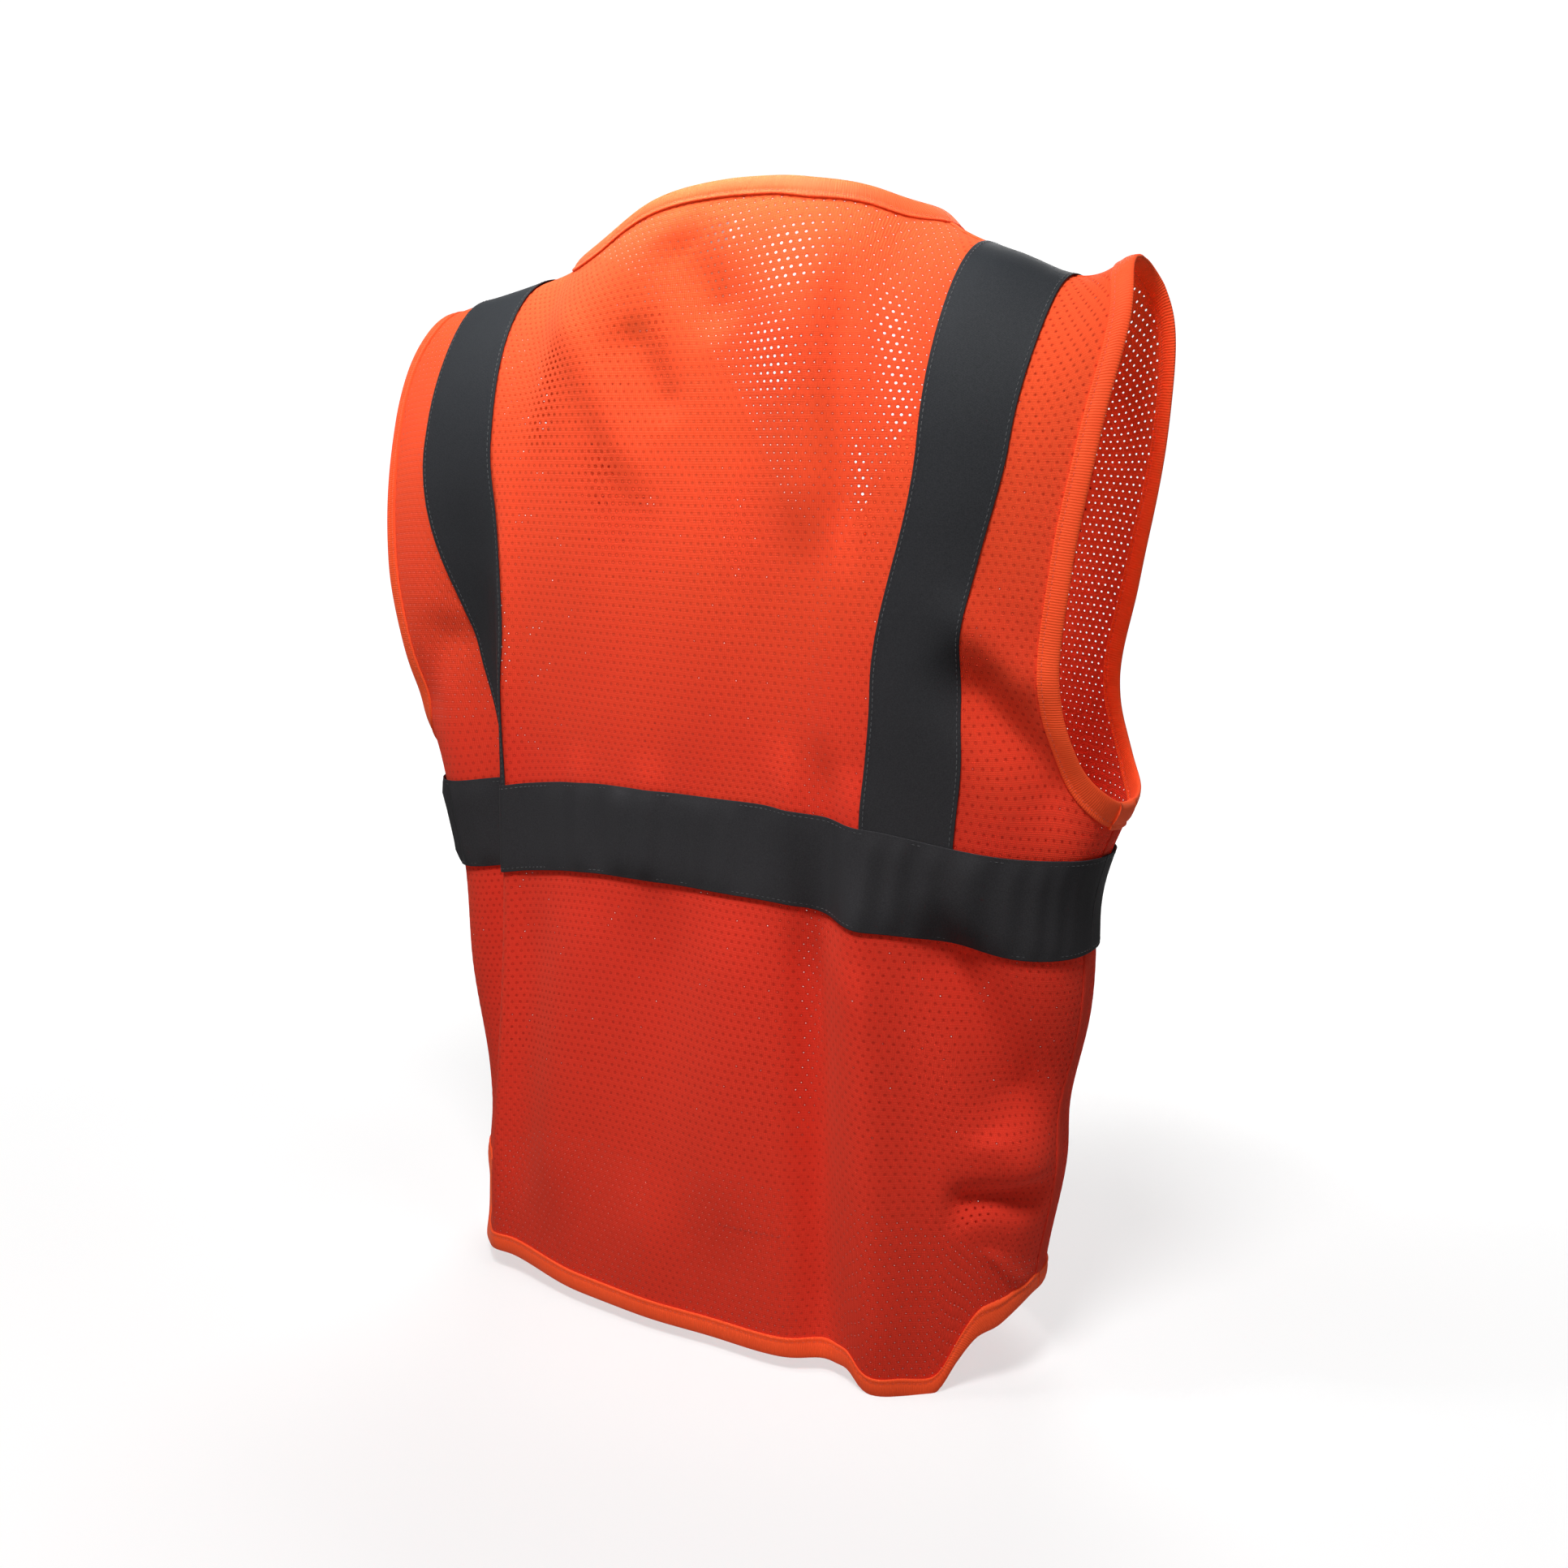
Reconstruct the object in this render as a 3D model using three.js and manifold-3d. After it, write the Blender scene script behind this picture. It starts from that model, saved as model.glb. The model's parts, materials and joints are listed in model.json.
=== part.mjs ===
// High visibility vest: a sleeveless knitted-mesh vest with reflective tape, bound edges and a front zip.
// Millimetres, +Z up. The wearer faces -Y, so the wearer's left is +X. Z = 0 is the lowest point of the
// back hem, and X = Y = 0 is the vertical line through the middle of the body.
import * as THREE from "three";
import { mergeVertices } from "three/addons/utils/BufferGeometryUtils.js";
import Module from "manifold-3d";

// ---- driving dimensions ----
const HEM_HALF_WIDTH = 183;
const WAIST_HALF_WIDTH = 203;
const CHEST_HALF_WIDTH = 250; // of the curve that the chest lies on; the armholes cut it short
const BACK_HEM_DEPTH = 80;
const BACK_WAIST_DEPTH = 70;
const BACK_CHEST_DEPTH = 77;
const FRONT_DEPTH = 80;
const LOW_HEM_Z = 7; // heights between which one width or depth passes smoothly into the next
const BACK_WAIST_Z = 237;
const WAIST_Z = 277;
const CHEST_START_Z = 257;
const CHEST_Z = 417;
const BACK_CHEST_Z = 447;
const HEM_POWER = 2.5; // the section is |x/w|^p + |y/d|^p = 1, a little squarer than an ellipse
const CHEST_POWER = 2.3;

const NECK_HALF_WIDTH = 104;
const NECK_POINT_Z = 597;
const BACK_NECK_DEPTH = 67;
const NECK_CREST_RISE = 53;
const CREST_BLEND = 8; // width of the soft corner between the neck's crest and the shoulder line
const SHOULDER_TIP_X = 213;
const SHOULDER_TIP_Z = 568;
const SHOULDER_ROUND = 136; // height over which front and back curve in to the shoulder line
const NECK_ROUND = 80;
const FRONT_NECK_Z = 440;
const UNDERARM_Z = 318;
const SIDE_HEM_Z = 45;
const FRONT_HEM_Z = 26;

const TAPE_WIDTH = 50.8;
const WAIST_TAPE_TOP = 297;
const WAIST_TAPE_BOTTOM = WAIST_TAPE_TOP - TAPE_WIDTH;
const BINDING_WIDTH = 10;
const PANEL_HALF_THICKNESS = 0.5;
const BINDING_HALF_THICKNESS = 1.1;
const GAP = 0.4;

const WAIST_SIDE_DROP = 12; // the fabric hangs lower at the sides than at the middle of the back
const WAIST_BACK_LIFT = 7;

const HINGE_X = 100; // the fold line that a front swings about
const YOKE_Z = 472; // above this height the front stays with the shoulder
const ZIP_HALF_GAP = 7; // from the middle to the tip of the teeth
const FRONT_EDGE_X = ZIP_HALF_GAP + 7;
const ZIP_Y = -FRONT_DEPTH + PANEL_HALF_THICKNESS + GAP + 0.3;

const ORANGE = { color: 0xf25022, roughness: 0.9, metalness: 0 };
const ORANGE_BINDING = { color: 0xfa5519, roughness: 0.75, metalness: 0 };
const CHARCOAL_TAPE = { color: 0x2f3033, roughness: 0.45, metalness: 0.1 };
const ZIP_PLASTIC = { color: 0xe8501e, roughness: 0.5, metalness: 0 };
const ZIP_METAL = { color: 0x9a9c9e, roughness: 0.35, metalness: 0.9 };
const LABEL_WHITE = { color: 0xf0efea, roughness: 0.8, metalness: 0 };

const vest = new THREE.Group();

function add(name, geometry, finish) {
  const mesh = new THREE.Mesh(geometry, new THREE.MeshStandardMaterial(finish));
  mesh.name = name;
  vest.add(mesh);
}

// ---- the surface that the fabric lies on ----
const BACK = 1;
const FRONT = -1;
const CURVE_POWER = 2.2;

const rise = (low, high, value) => THREE.MathUtils.smoothstep(value, low, high);
const mix = THREE.MathUtils.lerp;

function halfWidth(z) {
  const waist = mix(HEM_HALF_WIDTH, WAIST_HALF_WIDTH, rise(LOW_HEM_Z, WAIST_Z, z));
  return mix(waist, CHEST_HALF_WIDTH, rise(CHEST_START_Z, CHEST_Z, z));
}

function halfDepth(side, z) {
  if (side === FRONT) return FRONT_DEPTH;
  const waist = mix(BACK_HEM_DEPTH, BACK_WAIST_DEPTH, rise(LOW_HEM_Z, BACK_WAIST_Z, z));
  return mix(waist, BACK_CHEST_DEPTH, rise(CHEST_START_Z, BACK_CHEST_Z, z));
}

const sectionPower = (z) => mix(HEM_POWER, CHEST_POWER, rise(WAIST_Z, CHEST_Z - 20, z));

function crestZ(x) {
  const across = Math.abs(x) / NECK_HALF_WIDTH;
  const slope = (NECK_POINT_Z - SHOULDER_TIP_Z) / (SHOULDER_TIP_X - NECK_HALF_WIDTH);
  const shoulder = NECK_POINT_Z - slope * (Math.abs(x) - NECK_HALF_WIDTH);
  const neck = NECK_POINT_Z + NECK_CREST_RISE * (1 - across * across);
  return 0.5 * (shoulder + neck + Math.hypot(shoulder - neck, CREST_BLEND));
}

function roundHeight(x) {
  const across = Math.min(1, Math.abs(x) / NECK_HALF_WIDTH);
  return mix(NECK_ROUND, SHOULDER_ROUND, across * across);
}

// 1 on the body, falling to 0 at the shoulder line
function shoulderRound(x, z) {
  const below = THREE.MathUtils.clamp((crestZ(x) - z) / roundHeight(x), 0, 1);
  return Math.pow(1 - Math.pow(1 - below, CURVE_POWER), 1 / CURVE_POWER);
}

function surfaceY(side, x, z) {
  const p = sectionPower(z);
  const across = Math.min(1, Math.abs(x) / halfWidth(z));
  return side * halfDepth(side, z) * shoulderRound(x, z) * Math.pow(1 - Math.pow(across, p), 1 / p);
}

const onSurface = (side, x, z) => new THREE.Vector3(x, surfaceY(side, x, z), z);

function outside(point) {
  const side = point.y < 0 ? FRONT : BACK;
  const depth = halfDepth(side, point.z) * Math.max(1e-4, shoulderRound(point.x, point.z));
  const p = sectionPower(point.z);
  return Math.pow(Math.abs(point.x) / halfWidth(point.z), p) + Math.pow(Math.abs(point.y) / depth, p) - 1;
}

const onCrest = (point) => Math.abs(point.y) < 1 && point.z > crestZ(point.x) - 0.2;

// the way out of the surface at a point, not of unit length
function gradient(point) {
  const step = 1e-3;
  if (onCrest(point)) return new THREE.Vector3((crestZ(point.x - 1) - crestZ(point.x + 1)) / 2, 0, 1);
  const slope = new THREE.Vector3();
  for (const axis of ["x", "y", "z"]) {
    const ahead = point.clone();
    const behind = point.clone();
    ahead[axis] += step;
    behind[axis] -= step;
    slope[axis] = (outside(ahead) - outside(behind)) / (2 * step);
  }
  return slope;
}

// the drop at the sides and the lift at the middle of the back, which fade out above and below the waist
function drape(point) {
  const across = Math.abs(point.x);
  const frontShift = -WAIST_SIDE_DROP * rise(HINGE_X, WAIST_HALF_WIDTH, across);
  const backShift = mix(WAIST_BACK_LIFT, -WAIST_SIDE_DROP, rise(40, WAIST_HALF_WIDTH, across));
  const shift = mix(frontShift, backShift, rise(-20, 20, point.y));
  const waistOnly = rise(60, 200, point.z) * (1 - rise(285, 345, point.z));
  return point.clone().setZ(point.z + shift * waistOnly);
}

const shifted = (point, normal, offset) => drape(point.clone().addScaledVector(normal, offset));

// ---- edges of the garment ----
// the back neckline is a round curve seen from above; this is its height on the surface
function backNeckZ(x) {
  const across = Math.min(1, Math.abs(x) / NECK_HALF_WIDTH);
  const planY = BACK_NECK_DEPTH * Math.pow(1 - Math.pow(across, CURVE_POWER), 1 / CURVE_POWER);
  const wide = Math.pow(Math.abs(x) / CHEST_HALF_WIDTH, CHEST_POWER);
  const fullY = BACK_CHEST_DEPTH * Math.pow(1 - wide, 1 / CHEST_POWER);
  const share = Math.pow(planY / fullY, CURVE_POWER);
  return crestZ(x) - roundHeight(x) * (1 - Math.pow(1 - share, 1 / CURVE_POWER));
}

function frontNeckZ(x) {
  const along = THREE.MathUtils.clamp((x - FRONT_EDGE_X) / (NECK_HALF_WIDTH - FRONT_EDGE_X), 0, 1);
  return mix(FRONT_NECK_Z, crestZ(NECK_HALF_WIDTH), Math.pow(along, 1.15));
}

// how far round the hem's section an x lies, from 0 at the left side seam to 1 at the right one
function hemTurn(x) {
  const across = Math.min(1, Math.abs(x) / HEM_HALF_WIDTH);
  return Math.acos(Math.sign(x) * Math.pow(across, HEM_POWER / 2)) / Math.PI;
}

function hemZ(side, x) {
  const fromSeam = 2 * hemTurn(Math.abs(x));
  if (side === FRONT) return mix(SIDE_HEM_Z, FRONT_HEM_Z, rise(0.2, 0.65, fromSeam));
  return SIDE_HEM_Z * rise(0.58, 1, 1 - fromSeam);
}

// one side of the armhole from the shoulder tip down to the underarm, as x against z
const ARMHOLE = {
  [BACK]: [[SHOULDER_TIP_X, SHOULDER_TIP_Z], [220, 537], [216, 487], [209, 417], [204, 367], [207, 333]],
  [FRONT]: [[SHOULDER_TIP_X, SHOULDER_TIP_Z], [223, 537], [222, 490], [211, 420], [201, 367], [205, 333]],
};
const underarm = new THREE.Vector3(halfWidth(UNDERARM_Z), UNDERARM_Z, 0);

function armholeCurve(side) {
  const knots = ARMHOLE[side].map(([x, z]) => new THREE.Vector3(x, z, 0));
  return new THREE.CatmullRomCurve3([...knots, underarm], false, "centripetal");
}

function armholeLoop(steps) {
  const down = armholeCurve(BACK).getPoints(steps).map((k) => onSurface(BACK, k.x, k.y));
  const up = armholeCurve(FRONT).getPoints(steps).map((k) => onSurface(FRONT, k.x, k.y)).reverse();
  down[0].set(SHOULDER_TIP_X, 0, crestZ(SHOULDER_TIP_X));
  down[steps].set(underarm.x, 0, underarm.y);
  return [...down, ...up.slice(1, steps)];
}

// the front neckline, with its points closer together where it nears the shoulder
function frontNeckLine(steps, from, to) {
  const points = [];
  for (let i = 0; i <= steps; i++) {
    const share = mix(from, to, i / steps);
    const x = mix(FRONT_EDGE_X, NECK_HALF_WIDTH, 1 - (1 - share) ** 2);
    points.push(onSurface(FRONT, x, Math.min(frontNeckZ(x), crestZ(x) - 1e-6)));
  }
  return points;
}

function backNeckLine(steps) {
  const points = [];
  for (let i = 1; i < steps; i++) {
    const x = NECK_HALF_WIDTH * Math.cos((Math.PI * i) / steps);
    points.push(onSurface(BACK, x, backNeckZ(x)));
  }
  return points;
}

function hemPoint(side, turn) {
  const cos = Math.cos(Math.PI * turn);
  const x = HEM_HALF_WIDTH * Math.sign(cos) * Math.pow(Math.abs(cos), 2 / HEM_POWER);
  const z = hemZ(side, x);
  const wide = (x / HEM_HALF_WIDTH) * halfWidth(z);
  return new THREE.Vector3(wide, surfaceY(side, wide, z), z);
}

// ---- solids on that surface ----
function solid(corners, faces) {
  const geometry = new THREE.BufferGeometry();
  const numbers = corners.flatMap((c) => [c.x, c.y, c.z]);
  geometry.setAttribute("position", new THREE.Float32BufferAttribute(numbers, 3));
  geometry.setIndex(faces);
  const volume = faces.reduce((sum, _, i) => {
    if (i % 3) return sum;
    const [a, b, c] = [corners[faces[i]], corners[faces[i + 1]], corners[faces[i + 2]]];
    return sum + a.dot(b.clone().cross(c));
  }, 0);
  if (volume < 0) {
    for (let i = 0; i < faces.length; i += 3) [faces[i], faces[i + 1]] = [faces[i + 1], faces[i]];
    geometry.setIndex(faces);
  }
  return geometry;
}

// A sheet of even thickness between two offsets from the surface. rows[j][i] is a point, or null where
// there is none. In a ring the last column joins the first.
function sheet(rows, inner, outer, ring = false) {
  const corners = [];
  const index = rows.map((row) => row.map((point) => {
    if (!point) return -1;
    const normal = gradient(point).normalize();
    corners.push(shifted(point, normal, outer), shifted(point, normal, inner));
    return corners.length - 2;
  }));
  const faces = [];
  const border = new Map();
  const quad = (a, b, c, d) => {
    faces.push(a, b, c, a, c, d, a + 1, c + 1, b + 1, a + 1, d + 1, c + 1);
    for (const [from, to] of [[a, b], [b, c], [c, d], [d, a]]) {
      if (!border.delete(`${to},${from}`)) border.set(`${from},${to}`, [from, to]);
    }
  };
  const columns = rows[0].length;
  for (let j = 0; j + 1 < rows.length; j++) {
    for (let i = 0; i < (ring ? columns : columns - 1); i++) {
      const next = (i + 1) % columns;
      const cell = [index[j][i], index[j][next], index[j + 1][next], index[j + 1][i]];
      if (cell.every((k) => k >= 0)) quad(...cell);
    }
  }
  for (const [from, to] of border.values()) faces.push(to, from, from + 1, to, from + 1, to + 1);
  return solid(corners, faces);
}

// moves a point along the surface by a distance, in the direction across a line of points
function inset(line, closed, sign, distance) {
  const count = line.length;
  return line.map((point, i) => {
    const before = line[closed ? (i + count - 1) % count : Math.max(0, i - 1)];
    const after = line[closed ? (i + 1) % count : Math.min(count - 1, i + 1)];
    const normal = gradient(point).normalize();
    const across = normal.clone().cross(after.clone().sub(before)).normalize().multiplyScalar(sign);
    const moved = point.clone().addScaledVector(across, distance);
    if (onCrest(point)) return moved.setZ(crestZ(moved.x));
    for (let pass = 0; pass < 3; pass++) {
      const slope = gradient(moved);
      moved.addScaledVector(slope, -outside(moved) / slope.lengthSq());
    }
    return moved;
  });
}

// a flat band along an edge line, as the folded binding is
function band(line, closed, sign) {
  const rows = [line, inset(line, closed, sign, BINDING_WIDTH)];
  return sheet(rows, -BINDING_HALF_THICKNESS, BINDING_HALF_THICKNESS, closed);
}

const steps = (count, make) => Array.from({ length: count + 1 }, (_, i) => make(i / count));
const mirrored = (point) => point && new THREE.Vector3(-point.x, point.y, point.z);
const mirrorRows = (rows) => rows.map((row) => row.map(mirrored).reverse());

// ---- where the panels end, one binding width in from the garment's edge ----
const PANEL_INSET = BINDING_WIDTH + GAP;
const CURVED_PANEL_INSET = PANEL_INSET + 1.2; // clear of a curved binding between its corners
const ARM_STEPS = 12;
const FRONT_NECK_STEPS = 14;
const BACK_NECK_STEPS = 20;
const armLine = armholeLoop(ARM_STEPS);
const armInset = inset(armLine, true, 1, PANEL_INSET);
const neckLine = [...frontNeckLine(FRONT_NECK_STEPS, 0, 1), ...backNeckLine(BACK_NECK_STEPS)];
const neckInset = inset(neckLine, false, -1, CURVED_PANEL_INSET);

// height at an x of a line of points
function readAlong(points, x) {
  const sorted = [...points].sort((a, b) => a.x - b.x);
  const k = THREE.MathUtils.clamp(sorted.findIndex((p) => p.x > x), 1, sorted.length - 1);
  const [a, b] = [sorted[k - 1], sorted[k]];
  return mix(a.z, b.z, THREE.MathUtils.clamp((x - a.x) / (b.x - a.x), 0, 1));
}

const SEAM_HALF_GAP = 0.3; // half of the gap between two panels that meet at a seam
const shoulderStartX = Math.max(...neckInset.map((p) => p.x));
const backHemInset = inset(steps(18, (t) => hemPoint(BACK, t / 2)), false, 1, PANEL_INSET + 1);
const frontTop = neckInset.slice(0, FRONT_NECK_STEPS + 1);
const backTop = neckInset.slice(FRONT_NECK_STEPS).filter((p) => p.x >= 0);

function topZ(side, x) {
  if (x >= shoulderStartX) return crestZ(x);
  return Math.min(crestZ(x), readAlong(side === FRONT ? frontTop : backTop, x));
}

// the panel's outer edge from hem to shoulder: up the side seam, then round the armhole
function outerEdge(side) {
  const seamTop = armInset[ARM_STEPS];
  const below = steps(5, (t) => mix(SIDE_HEM_Z + PANEL_INSET + 1, WAIST_TAPE_BOTTOM, t));
  const beside = steps(3, (t) => mix(WAIST_TAPE_BOTTOM, WAIST_TAPE_TOP, t)).slice(1);
  const seam = [...below, ...beside, seamTop.z].map((z) => ({ x: halfWidth(z), z, seam: true }));
  const arm = side === BACK ? armInset.slice(0, ARM_STEPS).reverse() : armInset.slice(ARM_STEPS + 1);
  const top = { x: armInset[0].x, z: crestZ(armInset[0].x) };
  const between = (p) => p.z < top.z - 3 && p.z > seamTop.z + 1;
  const middle = arm.filter(between).map((p) => ({ x: p.x, z: p.z }));
  return [...seam, ...middle, top];
}

// the columns of a row at a height: the given ones, then even turns of the section out to the row's edge
const SIDE_COLUMNS = 9;
function columnXs(columns, z, edgeX) {
  const wide = halfWidth(z);
  const p = sectionPower(z);
  const turnAt = (x) => Math.acos(Math.pow(Math.min(1, x / wide), p / 2));
  const start = turnAt(columns.at(-1));
  const outer = steps(SIDE_COLUMNS, (t) => wide * Math.pow(Math.cos(mix(start, turnAt(edgeX), t)), 2 / p));
  return [...columns.slice(0, -1), ...outer];
}

// rows of one half of a panel, from its first column out to the edge
function halfPanel(side, columns) {
  return outerEdge(side).map((edge) => {
    const hem = (x) => (side === BACK ? readAlong(backHemInset, x) : hemZ(side, x) + PANEL_INSET);
    const share = (edge.z - hem(HEM_HALF_WIDTH)) / (crestZ(edge.x) - hem(HEM_HALF_WIDTH));
    return columnXs(columns, edge.z, edge.x).map((x, i, all) => {
      const last = i === all.length - 1;
      const z = last ? edge.z : mix(hem((x / halfWidth(edge.z)) * HEM_HALF_WIDTH), topZ(side, x), share);
      const point = onSurface(side, x, z);
      if (share > 0.999 && x >= shoulderStartX - 0.01) point.set(x, side * SEAM_HALF_GAP, crestZ(x));
      if (last && edge.seam) point.y = side * SEAM_HALF_GAP;
      return point;
    });
  });
}

// ---- back and front panels ----
const backColumns = [0, 21, 42, 63, 80, 94, 104, shoulderStartX];
const rightBack = halfPanel(BACK, backColumns);
const backRows = rightBack.map((row) => [...row.slice(1).reverse().map(mirrored), ...row]);
const PANEL_OFFSET = [-PANEL_HALF_THICKNESS, PANEL_HALF_THICKNESS];
add("back_panel", sheet(backRows, ...PANEL_OFFSET), ORANGE);

// the side part of a front, with the yoke that reaches in to the neckline above YOKE_Z
const frontColumns = [HINGE_X + GAP, 107, shoulderStartX];
const yokeColumns = [58, 70, 80, 90];
function frontSideRows() {
  const rows = halfPanel(FRONT, frontColumns);
  const first = rows.map((row) => row[0]);
  const yokeRow = first.findIndex((p) => p.z > YOKE_Z);
  return rows.map((row, j) => {
    const share = (first[j].z - first[yokeRow].z) / (first.at(-1).z - first[yokeRow].z);
    const yokeZ = (x) => mix(first[yokeRow].z, topZ(FRONT, x), share);
    const yoke = yokeColumns.map((x) => (j < yokeRow ? null : onSurface(FRONT, x, yokeZ(x))));
    return [...yoke, ...row];
  });
}
const sideRows = frontSideRows();
const yokeBottomZ = sideRows.find((row) => row[0])[0].z;
add("left_front_side_panel", sheet(sideRows, ...PANEL_OFFSET), ORANGE);
add("right_front_side_panel", sheet(mirrorRows(sideRows), ...PANEL_OFFSET), ORANGE);

const flapColumns = [FRONT_EDGE_X, 21, 28, 42, 56, 70, 85, HINGE_X - GAP];
const flapRows = steps(14, (t) => flapColumns.map((x) => {
  const top = Math.min(yokeBottomZ - GAP, topZ(FRONT, x));
  return onSurface(FRONT, x, mix(FRONT_HEM_Z + PANEL_INSET, top, t));
}));
add("left_front_panel", sheet(flapRows, ...PANEL_OFFSET), ORANGE);
add("right_front_panel", sheet(mirrorRows(flapRows), ...PANEL_OFFSET), ORANGE);

// ---- bindings ----
const NECK_SPLIT_SHARE = 0.225; // where the neckline crosses the yoke line
const collarFront = frontNeckLine(12, NECK_SPLIT_SHARE + 0.005, 1);
const collar = [...collarFront, ...backNeckLine(24), ...collarFront.map(mirrored).reverse()];
add("neck_binding", band(collar, false, -1), ORANGE_BINDING);

const flapNeck = frontNeckLine(5, 0, NECK_SPLIT_SHARE);
add("left_front_neck_binding", band(flapNeck, false, -1), ORANGE_BINDING);
add("right_front_neck_binding", band(flapNeck.map(mirrored), false, 1), ORANGE_BINDING);

add("left_armhole_binding", band(armLine, true, 1), ORANGE_BINDING);
add("right_armhole_binding", band(armLine.map(mirrored), true, -1), ORANGE_BINDING);

const sideHem = steps(10, (t) => hemPoint(FRONT, mix(hemTurn(HINGE_X + GAP), 0, t))).slice(0, -1);
const backHem = steps(36, (t) => hemPoint(BACK, t));
const longHem = [...sideHem, ...backHem, ...sideHem.map(mirrored).reverse()];
add("back_hem_binding", band(longHem, false, 1), ORANGE_BINDING);
const flapHem = steps(5, (t) => hemPoint(FRONT, mix(hemTurn(FRONT_EDGE_X), hemTurn(HINGE_X - GAP), t)));
add("left_front_hem_binding", band(flapHem, false, 1), ORANGE_BINDING);
add("right_front_hem_binding", band(flapHem.map(mirrored), false, -1), ORANGE_BINDING);

// ---- reflective tapes ----
const WAIST_TAPE_OFFSET = [1.3, 1.9]; // inner and outer face, out from the middle of the mesh
const SHOULDER_TAPE_OFFSET = [2.0, 2.6];
const TAPE_ROWS = 3;

const waistRows = steps(TAPE_ROWS, (t) => {
  const z = mix(WAIST_TAPE_BOTTOM, WAIST_TAPE_TOP, t);
  const front = columnXs(frontColumns, z, halfWidth(z)).map((x) => onSurface(FRONT, x, z));
  const back = columnXs(backColumns, z, halfWidth(z)).map((x) => onSurface(BACK, x, z));
  const half = [...front, ...back.reverse().slice(1)];
  return [...half, ...half.slice(0, -1).reverse().map(mirrored)];
});
add("back_waist_tape", sheet(waistRows, ...WAIST_TAPE_OFFSET), CHARCOAL_TAPE);

const flapWaistRows = steps(TAPE_ROWS, (t) => {
  const z = mix(WAIST_TAPE_BOTTOM, WAIST_TAPE_TOP, t);
  return flapColumns.map((x) => onSurface(FRONT, x, z));
});
add("left_front_waist_tape", sheet(flapWaistRows, ...WAIST_TAPE_OFFSET), CHARCOAL_TAPE);
add("right_front_waist_tape", sheet(mirrorRows(flapWaistRows), ...WAIST_TAPE_OFFSET), CHARCOAL_TAPE);

// inner edge of the shoulder tape, as x against z
const TAPE_TOP_Z = 600;
const TAPE_EDGE = [[106, WAIST_TAPE_TOP], [110, 367], [130, 487], [134, TAPE_TOP_Z]];
function tapeInnerX(z) {
  const k = TAPE_EDGE.findIndex(([, knot]) => knot >= z);
  const [[x0, z0], [x1, z1]] = [TAPE_EDGE[Math.max(0, k - 1)], TAPE_EDGE[Math.max(1, k)]];
  return mix(x0, x1, rise(z0, z1, z));
}

function shoulderTapeRow(side, share) {
  const bottom = WAIST_TAPE_TOP + GAP;
  return steps(3, (across) => {
    const top = crestZ(tapeInnerX(TAPE_TOP_Z) + across * TAPE_WIDTH);
    const z = mix(bottom, top, Math.sin(share * Math.PI / 2));
    const turnedAway = mix(0.9, 0.97, share); // the surface curves back, so the tape covers less of x
    const x = tapeInnerX(z) + across * TAPE_WIDTH * turnedAway;
    if (share > 0.999) return new THREE.Vector3(x, 0, crestZ(x));
    return onSurface(side, x, Math.min(z, crestZ(x)));
  });
}
const shoulderTapeRows = [
  ...steps(16, (t) => shoulderTapeRow(BACK, t)),
  ...steps(16, (t) => shoulderTapeRow(FRONT, 1 - t)).slice(1),
];
add("left_shoulder_tape", sheet(shoulderTapeRows, ...SHOULDER_TAPE_OFFSET), CHARCOAL_TAPE);
add("right_shoulder_tape", sheet(mirrorRows(shoulderTapeRows), ...SHOULDER_TAPE_OFFSET), CHARCOAL_TAPE);

// ---- label inside the back of the neck ----
const LABEL_HALF_WIDTH = 24;
const LABEL_Z = [555, 592];
const LABEL_OFFSET = [-2.0, -1.4];
const labelRows = steps(3, (up) => steps(4, (across) => {
  return onSurface(BACK, mix(-LABEL_HALF_WIDTH, LABEL_HALF_WIDTH, across), mix(...LABEL_Z, up));
}));
add("neck_label", sheet(labelRows, ...LABEL_OFFSET), LABEL_WHITE);

// ---- front zip ----
const ZIP_BOTTOM = FRONT_HEM_Z + PANEL_INSET + GAP;
const ZIP_TOP = FRONT_NECK_Z - PANEL_INSET - 1;
const TOOTH_PITCH = 5;
const TOOTH_HEIGHT = 2.2;
const TOOTH_THICKNESS = 2.4;
const CORD_X = [ZIP_HALF_GAP + 2.4, ZIP_HALF_GAP + 4];
const ZIP_TAPE_X = [CORD_X[1] + GAP, FRONT_EDGE_X + 12];
const ZIP_TAPE_Y = [ZIP_Y - 0.2, ZIP_Y + 0.3];
const STOP_HALF_DEPTH = 1.4;
const STOP_HEIGHT = 3.6;

function block(x0, x1, y0, y1, z0, z1) {
  const geometry = new THREE.BoxGeometry(x1 - x0, y1 - y0, z1 - z0);
  return geometry.translate((x0 + x1) / 2, (y0 + y1) / 2, (z0 + z1) / 2);
}

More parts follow.
